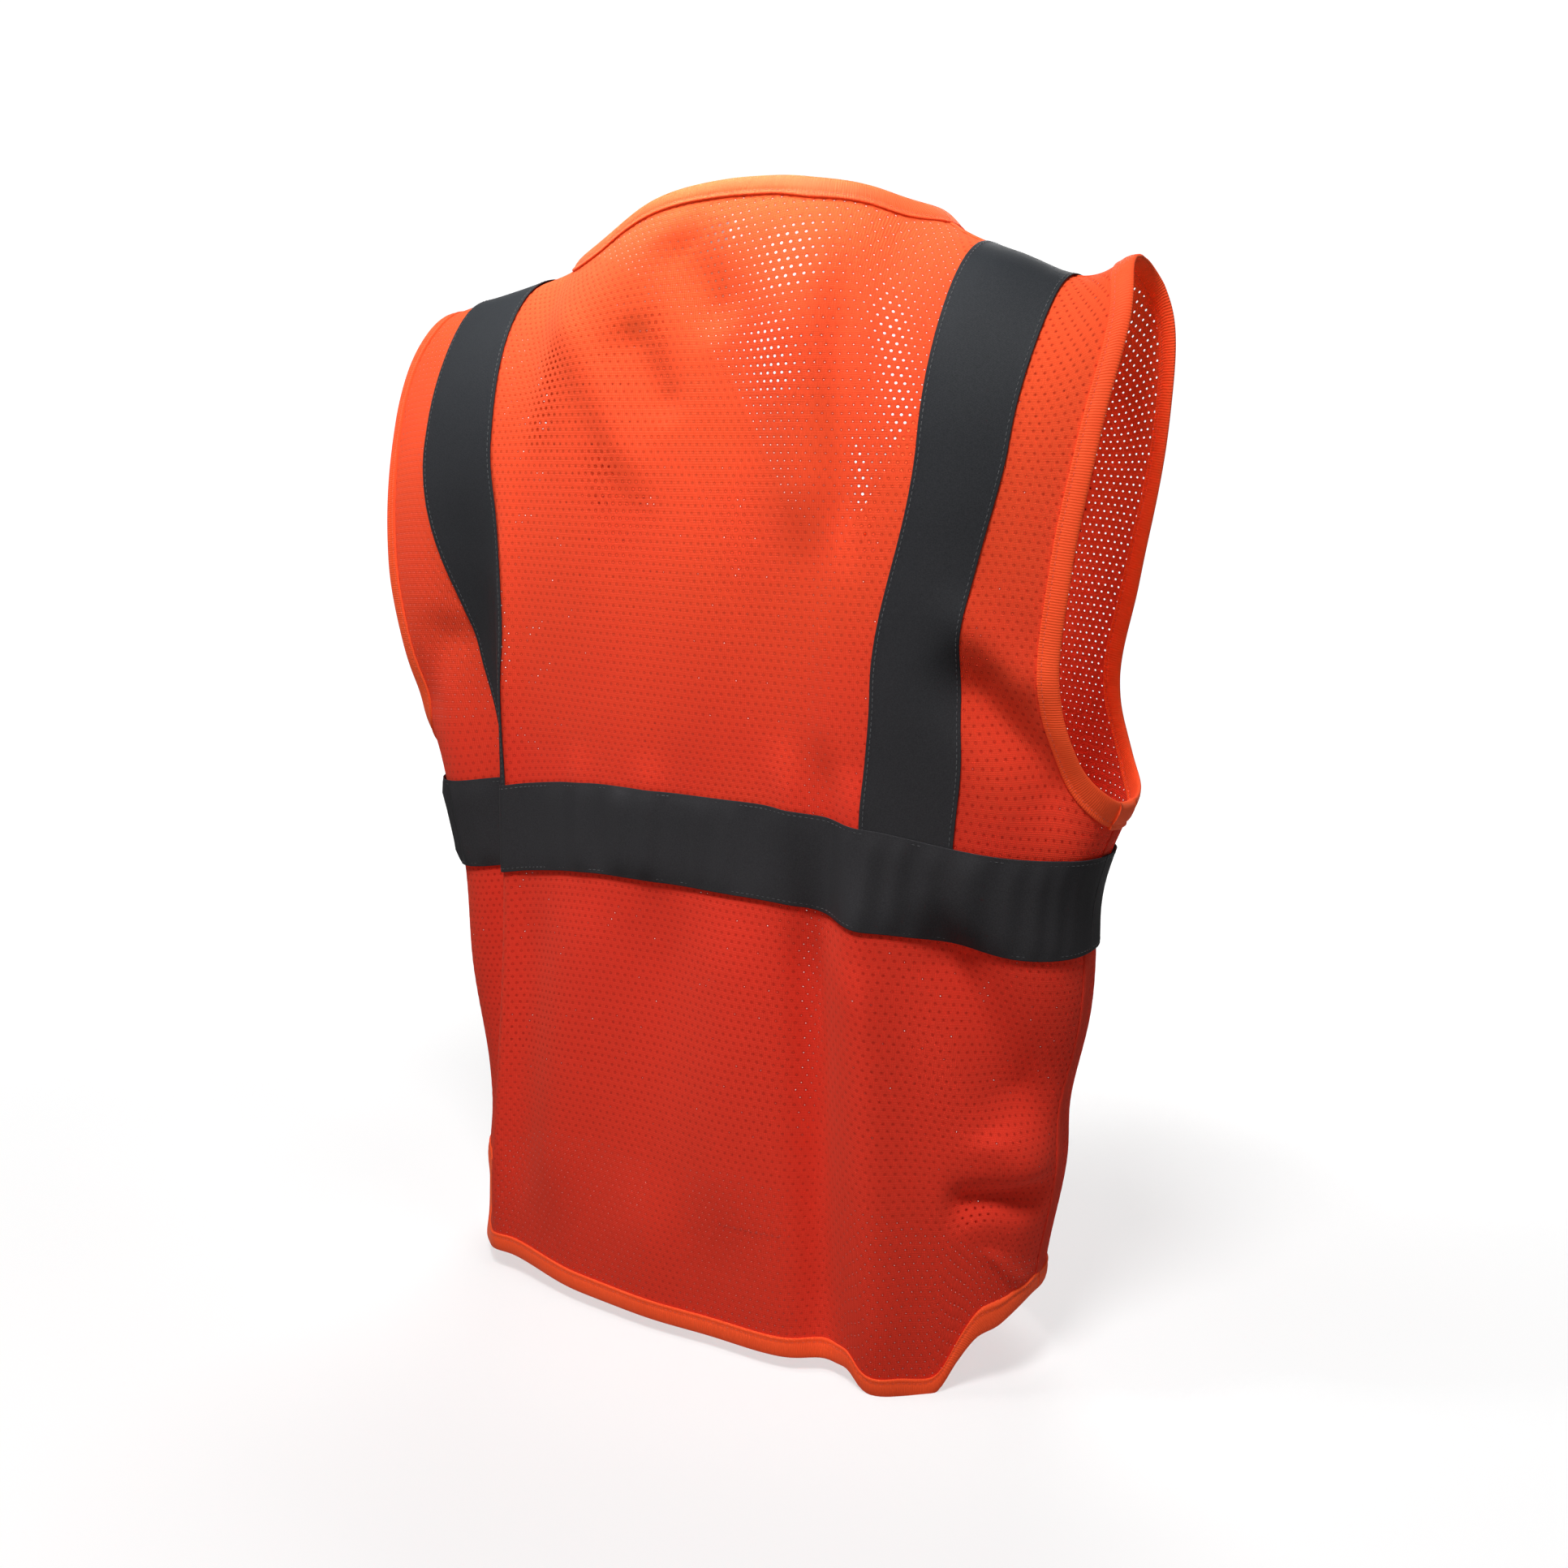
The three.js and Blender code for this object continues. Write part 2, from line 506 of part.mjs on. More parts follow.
// the toothed edge of one zip half: a cord with a row of teeth moulded on it
function toothedEdge(hand, lift) {
  const outline = new THREE.Shape();
  outline.moveTo(hand * CORD_X[1], ZIP_BOTTOM);
  outline.lineTo(hand * CORD_X[1], ZIP_TOP);
  outline.lineTo(hand * CORD_X[0], ZIP_TOP);
  const teeth = Math.floor((ZIP_TOP - ZIP_BOTTOM - lift) / TOOTH_PITCH);
  for (let i = teeth - 1; i >= 0; i--) {
    const foot = ZIP_BOTTOM + lift + 0.5 + i * TOOTH_PITCH;
    outline.lineTo(hand * CORD_X[0], foot + TOOTH_HEIGHT);
    outline.lineTo(hand * ZIP_HALF_GAP, foot + TOOTH_HEIGHT);
    outline.lineTo(hand * ZIP_HALF_GAP, foot);
    outline.lineTo(hand * CORD_X[0], foot);
  }
  outline.lineTo(hand * CORD_X[0], ZIP_BOTTOM);
  const geometry = new THREE.ExtrudeGeometry(outline, { depth: TOOTH_THICKNESS, bevelEnabled: false });
  return geometry.rotateX(Math.PI / 2).translate(0, ZIP_Y + TOOTH_THICKNESS / 2, 0);
}

for (const [name, hand] of [["left", 1], ["right", -1]]) {
  const span = ([a, b]) => (hand > 0 ? [a, b] : [-b, -a]);
  add(`${name}_zip_tape`, block(...span(ZIP_TAPE_X), ...ZIP_TAPE_Y, ZIP_BOTTOM, ZIP_TOP), ORANGE_BINDING);
  add(`${name}_zip_teeth`, toothedEdge(hand, hand > 0 ? 0 : TOOTH_PITCH / 2), ZIP_PLASTIC);
  const stopX = span([ZIP_HALF_GAP, CORD_X[1]]);
  const stopY = [ZIP_Y - STOP_HALF_DEPTH, ZIP_Y + STOP_HALF_DEPTH];
  const stopZ = ZIP_TOP + GAP;
  add(`${name}_zip_top_stop`, block(...stopX, ...stopY, stopZ, stopZ + STOP_HEIGHT), ZIP_METAL);
}

const wasm = await Module();
wasm.setup();

function toManifold(geometry) {
  const bare = geometry.clone();
  bare.deleteAttribute("normal");
  bare.deleteAttribute("uv");
  const merged = mergeVertices(bare, 1e-4);
  return new wasm.Manifold(new wasm.Mesh({
    numProp: 3,
    vertProperties: new Float32Array(merged.getAttribute("position").array),
    triVerts: new Uint32Array(merged.getIndex().array),
  }));
}

function toGeometry(manifold) {
  const mesh = manifold.getMesh();
  const geometry = new THREE.BufferGeometry();
  geometry.setAttribute("position", new THREE.BufferAttribute(new Float32Array(mesh.vertProperties), 3));
  geometry.setIndex(new THREE.BufferAttribute(new Uint32Array(mesh.triVerts), 1));
  return geometry;
}

const joined = (pieces) => toGeometry(pieces.map(toManifold).reduce((a, b) => a.add(b)));

// retainer box at the foot of the left half, and the pin of the right half that drops into it
const BOX_HEIGHT = 10;
const BOX_HALF_DEPTH = 2.1;
const BOX_X = [ZIP_HALF_GAP - 4, FRONT_EDGE_X - GAP * 2];
const BOX_Z = ZIP_BOTTOM - GAP - BOX_HEIGHT;
const boxY = [ZIP_Y - BOX_HALF_DEPTH, ZIP_Y + BOX_HALF_DEPTH];
add("zip_box", block(...BOX_X, ...boxY, BOX_Z, BOX_Z + BOX_HEIGHT), ZIP_PLASTIC);

const PIN_RADIUS = 0.9;
const PIN_LENGTH = 12; // between the centres of its round ends
const pinX = -CORD_X[0] - 0.6;
const pinZ = ZIP_BOTTOM - GAP - PIN_RADIUS - PIN_LENGTH / 2 - 0.3;
const pin = new THREE.CapsuleGeometry(PIN_RADIUS, PIN_LENGTH, 4, 12).rotateX(Math.PI / 2);
add("zip_pin", pin.translate(pinX, ZIP_Y, pinZ), ZIP_PLASTIC);

// slider, resting on the box: two plates joined by a post between the channels, and a bail for the pull
const SLIDER_X = ZIP_HALF_GAP + 0.4;
const SLIDER_HALF_WIDTH = 5.6;
const SLIDER_HEIGHT = 13;
const SLIDER_Z = ZIP_BOTTOM + 1;
const PLATE_INNER = 1.7;
const PLATE_OUTER = 2.6;
const FLANGE_INNER = 0.8;
const BAIL_HALF_WIDTH = 0.8;
const BAIL_HALF_OPENING = 2.2;
const BAIL_POST = 1;
const BAIL_DEPTH = 5.8; // from the zip's middle plane out to the bail's front
const PULL_AXIS_Y = ZIP_Y - 3.75;
const PULL_AXIS_Z = SLIDER_Z + SLIDER_HEIGHT - 5;

// a flat plate of an outline drawn in x and z, from y = -depth to y = 0
function plateOf(outline, depth, curveSegments) {
  const plate = new THREE.ExtrudeGeometry(outline, { depth, curveSegments, bevelEnabled: false });
  return plate.rotateX(Math.PI / 2);
}

function sliderPlate(face) {
  const half = SLIDER_HALF_WIDTH;
  const taper = 1.2;
  const round = 2;
  const outline = new THREE.Shape();
  outline.moveTo(-half + taper, 0);
  outline.lineTo(half - taper, 0);
  outline.lineTo(half, SLIDER_HEIGHT - round - 1);
  outline.absarc(half - round, SLIDER_HEIGHT - round, round, 0, Math.PI / 2, false);
  outline.absarc(-half + round, SLIDER_HEIGHT - round, round, Math.PI / 2, Math.PI, false);
  outline.lineTo(-half, SLIDER_HEIGHT - round - 1);
  const plate = plateOf(outline, PLATE_OUTER - PLATE_INNER, 4);
  return plate.translate(SLIDER_X, ZIP_Y + (face > 0 ? PLATE_OUTER : -PLATE_INNER), SLIDER_Z);
}

function sliderPieces() {
  const top = SLIDER_Z + SLIDER_HEIGHT;
  const overlap = 0.3; // the pieces run this far into each other, so that they join
  const pieces = [sliderPlate(1), sliderPlate(-1)];
  const postX = [ZIP_HALF_GAP - 2.6, ZIP_HALF_GAP - 0.7];
  const postDepth = PLATE_INNER + overlap;
  pieces.push(block(...postX, ZIP_Y - postDepth, ZIP_Y + postDepth, top - 5, top - 0.5));
  const flangeX = SLIDER_X + SLIDER_HALF_WIDTH - 1.1;
  for (const face of [-1, 1]) {
    const [near, far] = [ZIP_Y + face * FLANGE_INNER, ZIP_Y + face * (PLATE_INNER + overlap)];
    const flangeY = [Math.min(near, far), Math.max(near, far)];
    pieces.push(block(flangeX, flangeX + 0.9, ...flangeY, SLIDER_Z + 4, top - 3));
  }
  const bailX = [SLIDER_X - BAIL_HALF_WIDTH, SLIDER_X + BAIL_HALF_WIDTH];
  const reach = BAIL_HALF_OPENING + BAIL_POST;
  const bailY = [ZIP_Y - BAIL_DEPTH, ZIP_Y - PLATE_OUTER + overlap];
  for (const z of [PULL_AXIS_Z - reach, PULL_AXIS_Z + BAIL_HALF_OPENING]) {
    pieces.push(block(...bailX, ...bailY, z, z + BAIL_POST));
  }
  pieces.push(block(...bailX, bailY[0], bailY[0] + 0.9, PULL_AXIS_Z - reach, PULL_AXIS_Z + reach));
  return pieces;
}
add("zip_slider", joined(sliderPieces()), ZIP_METAL);

// pull tab, hanging from the bail by the bar above its window
const PULL_LENGTH = 28;
const PULL_HALF_THICKNESS = 0.5;
const PULL_HALF_WIDTH = 3.6;
const PULL_NECK_HALF_WIDTH = 2.6;
const PULL_NECK_Z = [-6, -9]; // where the neck starts and ends its widening, down from the pull's axis
const PULL_BAR_HALF_HEIGHT = 0.7;
const WINDOW_HALF_WIDTH = 1.4;
const WINDOW_FOOT_Z = -4.8;

function pullTab() {
  const outline = new THREE.Shape();
  outline.moveTo(-PULL_NECK_HALF_WIDTH, PULL_BAR_HALF_HEIGHT);
  outline.lineTo(-PULL_NECK_HALF_WIDTH, PULL_NECK_Z[0]);
  outline.lineTo(-PULL_HALF_WIDTH, PULL_NECK_Z[1]);
  outline.lineTo(-PULL_HALF_WIDTH, -PULL_LENGTH + PULL_HALF_WIDTH);
  outline.absarc(0, -PULL_LENGTH + PULL_HALF_WIDTH, PULL_HALF_WIDTH, Math.PI, 2 * Math.PI, false);
  outline.lineTo(PULL_HALF_WIDTH, PULL_NECK_Z[1]);
  outline.lineTo(PULL_NECK_HALF_WIDTH, PULL_NECK_Z[0]);
  outline.lineTo(PULL_NECK_HALF_WIDTH, PULL_BAR_HALF_HEIGHT);
  const window = new THREE.Path();
  window.moveTo(-WINDOW_HALF_WIDTH, -PULL_BAR_HALF_HEIGHT);
  window.lineTo(WINDOW_HALF_WIDTH, -PULL_BAR_HALF_HEIGHT);
  window.lineTo(WINDOW_HALF_WIDTH, WINDOW_FOOT_Z);
  window.lineTo(-WINDOW_HALF_WIDTH, WINDOW_FOOT_Z);
  outline.holes.push(window);
  const tab = plateOf(outline, 2 * PULL_HALF_THICKNESS, 8);
  return tab.translate(SLIDER_X, PULL_AXIS_Y + PULL_HALF_THICKNESS, PULL_AXIS_Z);
}
add("zip_pull", pullTab(), ZIP_METAL);

export default vest;
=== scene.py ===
import json
import math

import bmesh
import bpy
import numpy as np
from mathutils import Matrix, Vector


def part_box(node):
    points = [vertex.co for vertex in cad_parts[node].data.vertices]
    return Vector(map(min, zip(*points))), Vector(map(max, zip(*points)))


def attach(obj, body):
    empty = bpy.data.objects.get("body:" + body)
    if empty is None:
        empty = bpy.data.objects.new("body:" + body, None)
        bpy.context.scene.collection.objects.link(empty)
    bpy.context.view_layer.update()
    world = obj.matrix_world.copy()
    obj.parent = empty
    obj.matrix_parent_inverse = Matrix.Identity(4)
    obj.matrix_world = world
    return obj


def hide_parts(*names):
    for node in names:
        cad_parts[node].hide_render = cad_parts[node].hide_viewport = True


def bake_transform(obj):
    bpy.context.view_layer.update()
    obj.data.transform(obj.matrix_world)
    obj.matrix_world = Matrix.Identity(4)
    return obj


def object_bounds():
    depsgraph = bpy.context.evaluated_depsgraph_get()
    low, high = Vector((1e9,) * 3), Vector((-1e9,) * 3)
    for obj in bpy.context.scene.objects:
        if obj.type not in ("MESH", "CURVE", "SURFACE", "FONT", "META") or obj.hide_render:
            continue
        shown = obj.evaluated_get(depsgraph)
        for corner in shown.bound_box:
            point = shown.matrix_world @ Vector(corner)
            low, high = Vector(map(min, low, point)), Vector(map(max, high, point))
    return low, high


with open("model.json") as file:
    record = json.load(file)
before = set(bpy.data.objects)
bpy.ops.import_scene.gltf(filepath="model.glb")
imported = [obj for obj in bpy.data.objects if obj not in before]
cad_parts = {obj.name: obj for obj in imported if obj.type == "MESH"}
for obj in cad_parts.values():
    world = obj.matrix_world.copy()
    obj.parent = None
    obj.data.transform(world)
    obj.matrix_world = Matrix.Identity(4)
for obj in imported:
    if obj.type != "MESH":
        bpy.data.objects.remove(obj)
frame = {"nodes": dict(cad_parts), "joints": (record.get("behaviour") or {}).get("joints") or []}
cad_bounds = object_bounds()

# A high visibility vest: knitted mesh panels with real holes, folded bindings, reflective tapes and a front zip.
# Lengths are in millimetres until a mesh is made, which turns them into metres. The wearer faces -Y, and the
# wearer's left is +X.
MM = 0.001
X, Y, Z = 0, 1, 2
LOW, HIGH = 0, 1
BACK, FRONT = 1, -1
LEFT, RIGHT = 1, -1


def corner(node, which):
    """The lowest or highest corner of a CAD node, in millimetres."""
    return np.array(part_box(node)[which]) / MM


# ---- sizes taken from the frame ----
BINDING_SKIN = 1.1
PANEL_SKIN = 0.5
HINGE_X = next(j["pos_m"][X] for j in frame["joints"] if j["name"] == "left_front_fold") / MM
WAIST_TAPE_BOTTOM = corner("left_front_waist_tape", LOW)[Z]
WAIST_TAPE_TOP = corner("left_front_waist_tape", HIGH)[Z]
TAPE_WIDTH = WAIST_TAPE_TOP - WAIST_TAPE_BOTTOM
FRONT_EDGE_X = corner("left_front_panel", LOW)[X]
FRONT_DEPTH = -corner("left_front_panel", LOW)[Y] - PANEL_SKIN
FRONT_HEM_Z = corner("left_front_hem_binding", LOW)[Z]
BACK_HEM_DEPTH = corner("back_hem_binding", HIGH)[Y] - BINDING_SKIN
BINDING_WIDTH = corner("left_front_hem_binding", HIGH)[Z] - FRONT_HEM_Z
LABEL_LOW, LABEL_HIGH = corner("neck_label", LOW), corner("neck_label", HIGH)
ZIP_LOW, ZIP_HIGH = corner("left_zip_teeth", LOW), corner("left_zip_teeth", HIGH)
ZIP_TAPE_LOW, ZIP_TAPE_HIGH = corner("left_zip_tape", LOW), corner("left_zip_tape", HIGH)

# ---- the cut of the vest, the same driving dimensions as the frame's ----
HEM_HALF_WIDTH = 183
WAIST_HALF_WIDTH = 203
CHEST_HALF_WIDTH = 250
BACK_WAIST_DEPTH = 70
BACK_CHEST_DEPTH = 77
LOW_HEM_Z = 7
BACK_WAIST_Z = 237
WAIST_Z = 277
CHEST_START_Z = 257
CHEST_Z = 417
BACK_CHEST_Z = 447
HEM_POWER = 2.5
CHEST_POWER = 2.3
NECK_HALF_WIDTH = 104
NECK_POINT_Z = 597
BACK_NECK_DEPTH = 67
NECK_CREST_RISE = 53
CREST_BLEND = 8
SHOULDER_TIP_X = 213
SHOULDER_TIP_Z = 568
SHOULDER_ROUND = 136
NECK_ROUND = 80
SHOULDER_BASE_Z = SHOULDER_TIP_Z - SHOULDER_ROUND
ROUND_POWER = 2.2
FRONT_NECK_Z = 440
UNDERARM_Z = 318
SIDE_HEM_Z = 45
WAIST_SIDE_DROP = 12
WAIST_BACK_LIFT = 7


# ---- the surface that the cloth lies on ----
def smooth(low, high, value):
    t = np.clip((value - low) / (high - low), 0, 1)
    return t * t * (3 - 2 * t)


def mix(a, b, share):
    return a + (b - a) * share


def half_width(z):
    waist = mix(HEM_HALF_WIDTH, WAIST_HALF_WIDTH, smooth(LOW_HEM_Z, WAIST_Z, z))
    return mix(waist, CHEST_HALF_WIDTH, smooth(CHEST_START_Z, CHEST_Z, z))


def half_depth(side, z):
    waist = mix(BACK_HEM_DEPTH, BACK_WAIST_DEPTH, smooth(LOW_HEM_Z, BACK_WAIST_Z, z))
    back = mix(waist, BACK_CHEST_DEPTH, smooth(CHEST_START_Z, BACK_CHEST_Z, z))
    return np.where(np.asarray(side) == BACK, back, FRONT_DEPTH)


def section_power(z):
    return mix(HEM_POWER, CHEST_POWER, smooth(WAIST_Z, CHEST_Z - 20, z))


def crest_z(x):
    across = np.abs(x) / NECK_HALF_WIDTH
    slope = (NECK_POINT_Z - SHOULDER_TIP_Z) / (SHOULDER_TIP_X - NECK_HALF_WIDTH)
    shoulder = NECK_POINT_Z - slope * (np.abs(x) - NECK_HALF_WIDTH)
    neck = NECK_POINT_Z + NECK_CREST_RISE * (1 - across * across)
    return 0.5 * (shoulder + neck + np.hypot(shoulder - neck, CREST_BLEND))


def round_height(x):
    across = np.minimum(1, np.abs(x) / NECK_HALF_WIDTH)
    return mix(NECK_ROUND, SHOULDER_ROUND, across * across)


def shoulder_round(x, z):
    """1 on the body, falling to 0 at the shoulder line."""
    below = np.clip((crest_z(x) - z) / round_height(x), 0, 1)
    return (1 - (1 - below) ** ROUND_POWER) ** (1 / ROUND_POWER)


def section_share(x, z):
    """1 at the middle of a section, 0 where front and back meet."""
    p = section_power(z)
    return (1 - np.minimum(1, np.abs(x) / half_width(z)) ** p) ** (1 / p)


def on_surface(side, x, z):
    x, z = np.broadcast_arrays(np.asarray(x, float), np.asarray(z, float))
    y = side * half_depth(side, z) * shoulder_round(x, z) * section_share(x, z)
    return np.stack([x, y, z], -1)


def side_of(points):
    return np.where(points[..., Y] < 0, FRONT, BACK)


def outside(points):
    x, y, z = points[..., X], points[..., Y], points[..., Z]
    depth = half_depth(side_of(points), z) * np.maximum(1e-4, shoulder_round(x, z))
    p = section_power(z)
    return (np.abs(x) / half_width(z)) ** p + (np.abs(y) / depth) ** p - 1


def outward(points):
    """Unit normals of the surface."""
    step = 1e-3
    slope = np.empty_like(points)
    for axis in (X, Y, Z):
        shift = np.zeros(3)
        shift[axis] = step
        slope[..., axis] = outside(points + shift) - outside(points - shift)
    x, y, z = points[..., X], points[..., Y], points[..., Z]
    on_crest = (np.abs(y) < 1) & (z > crest_z(x) - 0.3)
    tilt = (crest_z(x - 1) - crest_z(x + 1)) / 2
    crest = np.stack([tilt, np.zeros_like(tilt), np.ones_like(tilt)], -1)
    slope = np.where(on_crest[..., None], crest, slope)
    return slope / np.linalg.norm(slope, axis=-1, keepdims=True)


def project(points):
    """Moves points that are near the surface onto it, along the axis that their normal leans to most."""
    x, y, z = points[..., X], points[..., Y], points[..., Z]
    side = side_of(points)
    depth = half_depth(side, z)
    p = section_power(z)
    x_fit = np.sign(x) * half_width(z) * (1 - np.minimum(1, np.abs(y) / depth) ** p) ** (1 / p)
    y_fit = on_surface(side, x, z)[..., Y]
    full = np.maximum(depth * section_share(x, z), 1e-3)
    turned_in = np.minimum(1, np.abs(y) / full)
    z_fit = crest_z(x) - round_height(x) * (1 - (1 - turned_in ** ROUND_POWER) ** (1 / ROUND_POWER))
    over = (z > crest_z(x) - 0.45 * round_height(x)) & (turned_in < 0.85)
    aside = ~over & (np.abs(x) > 0.9 * half_width(z))
    return np.stack([
        np.where(aside, x_fit, x),
        np.where(~over & ~aside, y_fit, y),
        np.where(over, z_fit, z),
    ], -1)


# ---- how the cloth falls: soft folds, and the waist a little lower at the sides ----
BACK_FOLDS = {
    # name: (start, end, half width, height); start and end are (x, z)
    "left_edge": ((119, 440), (129, -10), 9, 7.5),
    "behind_left_edge": ((146, 430), (166, -10), 21, -19.0),
    "right_fall": ((-104, 268), (-130, -20), 16, 12.5),
    "beside_right_fall": ((-74, 266), (-98, -20), 12, -11.5),
    "right_hollow": ((-144, 258), (-194, 150), 19, -15.0),
    "right_swell": ((-174, 150), (-190, 118), 12, 4.0),
    "right_tuck": ((-154, 106), (-198, 108), 11, -9.0),
    "hem_gather": ((-172, 70), (-186, 50), 4, 2.0),
    "tape_ridge": ((-62, 330), (-72, 222), 8, 3.0),
    "tape_valley": ((-84, 335), (-90, 228), 8, -3.4),
    "tape_ridge_outer": ((-102, 320), (-108, 236), 8, 3.0),
    "tape_ridge_middle": ((20, 315), (16, 240), 9, 1.6),
    "tape_ridge_left": ((70, 315), (64, 240), 8, 1.6),
    "neck_hollow": ((8, 590), (-24, 540), 16, -4.0),
    "neck_hollow_left": ((36, 545), (6, 496), 12, -3.0),
    "shoulder_blade": ((-58, 560), (-74, 440), 14, 4.0),
    "beside_shoulder_blade": ((-84, 560), (-94, 430), 8, -3.6),
    "across_back": ((88, 570), (22, 460), 12, 2.6),
    "underarm_hollow": ((-154, 384), (-206, 308), 15, -12.0),
    "above_underarm": ((-150, 412), (-198, 366), 12, 3.0),
    "left_underarm_hollow": ((164, 384), (198, 326), 12, -4.0),
    "lower_back_left": ((62, 240), (84, 40), 22, 3.5),
    "lower_back_hollow": ((100, 235), (106, 40), 14, -3.0),
    "lower_back_middle": ((14, 240), (14, 60), 20, -3.0),
    "lower_back_right": ((-30, 240), (-36, 60), 22, 3.5),
}
FRONT_FOLDS = {
    "left_chest": ((150, 540), (96, 330), 16, 3.0),
    "left_skirt": ((120, 230), (140, 20), 16, 4.0),
    "left_side": ((160, 240), (168, 20), 14, -4.0),
    "right_chest": ((-145, 530), (-90, 330), 15, 2.6),
    "right_skirt": ((-126, 230), (-146, 20), 15, 4.0),
    "right_side": ((-158, 240), (-170, 20), 14, -3.5),
}


def fold(x, z, start, end, width, height):
    run, climb = end[0] - start[0], end[1] - start[1]
    length = math.hypot(run, climb)
    along = ((x - start[0]) * run + (z - start[1]) * climb) / length**2
    across = ((x - start[0]) * climb - (z - start[1]) * run) / length
    ends = smooth(-0.12, 0.22, along) * (1 - smooth(0.78, 1.12, along))
    return height * ends * np.exp(-((across / width) ** 2))


def fold_height(points):
    """How far the cloth stands off the plain surface, outwards."""
    x, y, z = points[..., X], points[..., Y], points[..., Z]
    back = sum(fold(x, z, *f) for f in BACK_FOLDS.values())
    front = sum(fold(x, z, *f) for f in FRONT_FOLDS.values())
    ripple = 0.7 * np.sin(x / 19 + z / 47) + 0.5 * np.sin(x / 11 - z / 83 + 1.3)
    on_back = smooth(2, 30, y)
    on_front = smooth(4, 34, -y) * smooth(34, 62, np.abs(x))
    low = smooth(0, 60, crest_z(x) - z)
    return (back + ripple * low) * on_back + (front + ripple * low) * on_front


# the vest hangs a little askew: (place, shift) pairs, with places along x or z
NECK_LIFT = ((-218, 10), (-208, 5), (-196, -4), (-150, -5), (-112, 0), (-88, 10), (-60, 9), (-30, 3), (0, -4),
             (30, -8), (65, -13), (104, -12), (160, -9), (200, -6), (216, -6))
HEM_LIFT = ((-188, 0), (-178, 8), (-169, 17), (-162, 12), (-156, 2), (-138, 0), (-121, 2), (-112, 9), (-102, 9),
            (-60, 8), (0, 8), (60, 9), (134, 12), (165, 6), (186, 0))
LEFT_SIDE_SHIFT = ((0, -1), (50, -1), (75, -5), (110, -8), (180, -7), (250, -6), (275, -1), (320, 3), (345, 10),
                   (500, 10), (560, 3), (600, 0))
RIGHT_SIDE_SHIFT = ((0, 0), (60, -3), (120, -5), (152, -1), (210, -4), (290, 0), (330, -3), (360, 4), (430, 8),
                    (500, 5), (560, 2), (600, 2))


def along(pairs, places):
    """A smooth curve through (place, shift) pairs."""
    at, shift = np.array(pairs, float).T
    slope = np.gradient(shift, at)
    places = np.clip(places, at[0], at[-1])
    i = np.clip(np.searchsorted(at, places) - 1, 0, len(at) - 2)
    span = at[i + 1] - at[i]
    t = (places - at[i]) / span
    start = (1 + 2 * t) * shift[i] + t * slope[i] * span
    end = (3 - 2 * t) * shift[i + 1] - (1 - t) * slope[i + 1] * span
    return start * (1 - t) ** 2 + end * t**2


def drape(points):
    x, y, z = points[..., X], points[..., Y], points[..., Z]
    across = np.abs(x)
    front_shift = -WAIST_SIDE_DROP * smooth(HINGE_X, WAIST_HALF_WIDTH, across)
    back_shift = mix(WAIST_BACK_LIFT, -WAIST_SIDE_DROP, smooth(40, WAIST_HALF_WIDTH, across))
    shift = mix(front_shift, back_shift, smooth(-20, 20, y))
    waist_only = smooth(60, 200, z) * (1 - smooth(285, 345, z))
    top_only = smooth(-120, -15, z - crest_z(x))
    hem_only = (1 - smooth(15, 130, z)) * smooth(-10, 25, y)
    side_only = smooth(120, 185, across)
    aside = np.where(x > 0, along(LEFT_SIDE_SHIFT, z), along(RIGHT_SIDE_SHIFT, z))
    draped = points.copy()
    draped[..., X] = x + side_only * aside
    draped[..., Z] = z + shift * waist_only + top_only * along(NECK_LIFT, x) + hem_only * along(HEM_LIFT, x)
    return draped


def lay(points, normals, offset):
    """Puts surface points where the fallen cloth has them, an offset out from its middle."""
    height = fold_height(points) + offset
    return drape(points + normals * height[..., None])


# ---- edges of the vest ----
def even(line, spacing, closed=False):
    """The same line with its points an even distance apart."""
    if closed:
        line = np.vstack([line, line[:1]])
    lengths = np.linalg.norm(np.diff(line, axis=0), axis=1)
    at = np.concatenate([[0], np.cumsum(lengths)])
    count = max(2, int(round(at[-1] / spacing)))
    wanted = np.linspace(0, at[-1], count + 1)[: count if closed else count + 1]
    return np.stack([np.interp(wanted, at, line[:, k]) for k in range(3)], 1)


def through(knots, per_span=24):
    """A centripetal Catmull-Rom curve through flat knots."""
    p = np.array(knots, float)
    p = np.vstack([2 * p[0] - p[1], p, 2 * p[-1] - p[-2]])
    curve = []
    for a, b, c, d in zip(p, p[1:], p[2:], p[3:]):
        t1, t2, t3 = np.cumsum([np.linalg.norm(q - r) ** 0.5 for q, r in ((b, a), (c, b), (d, c))])
        t = np.linspace(t1, t2, per_span, endpoint=False)[:, None]
        ab = mix(a, b, t / t1)
        bc = mix(b, c, (t - t1) / (t2 - t1))
        cd = mix(c, d, (t - t2) / (t3 - t2))
        curve.append(mix(mix(ab, bc, t / t2), mix(bc, cd, (t - t1) / (t3 - t1)), (t - t1) / (t2 - t1)))
    return np.vstack([*curve, p[-2:-1]])


UNDERARM = (float(half_width(UNDERARM_Z)), UNDERARM_Z)
SHOULDER_TIP = (SHOULDER_TIP_X, SHOULDER_TIP_Z)
ARMHOLE = {
    BACK: through([SHOULDER_TIP, (220, 537), (216, 487), (209, 417), (204, 367), (207, 333), UNDERARM]),
    FRONT: through([SHOULDER_TIP, (223, 537), (222, 490), (211, 420), (201, 367), (205, 333), UNDERARM]),
}
LINE_SPACING = 2.4


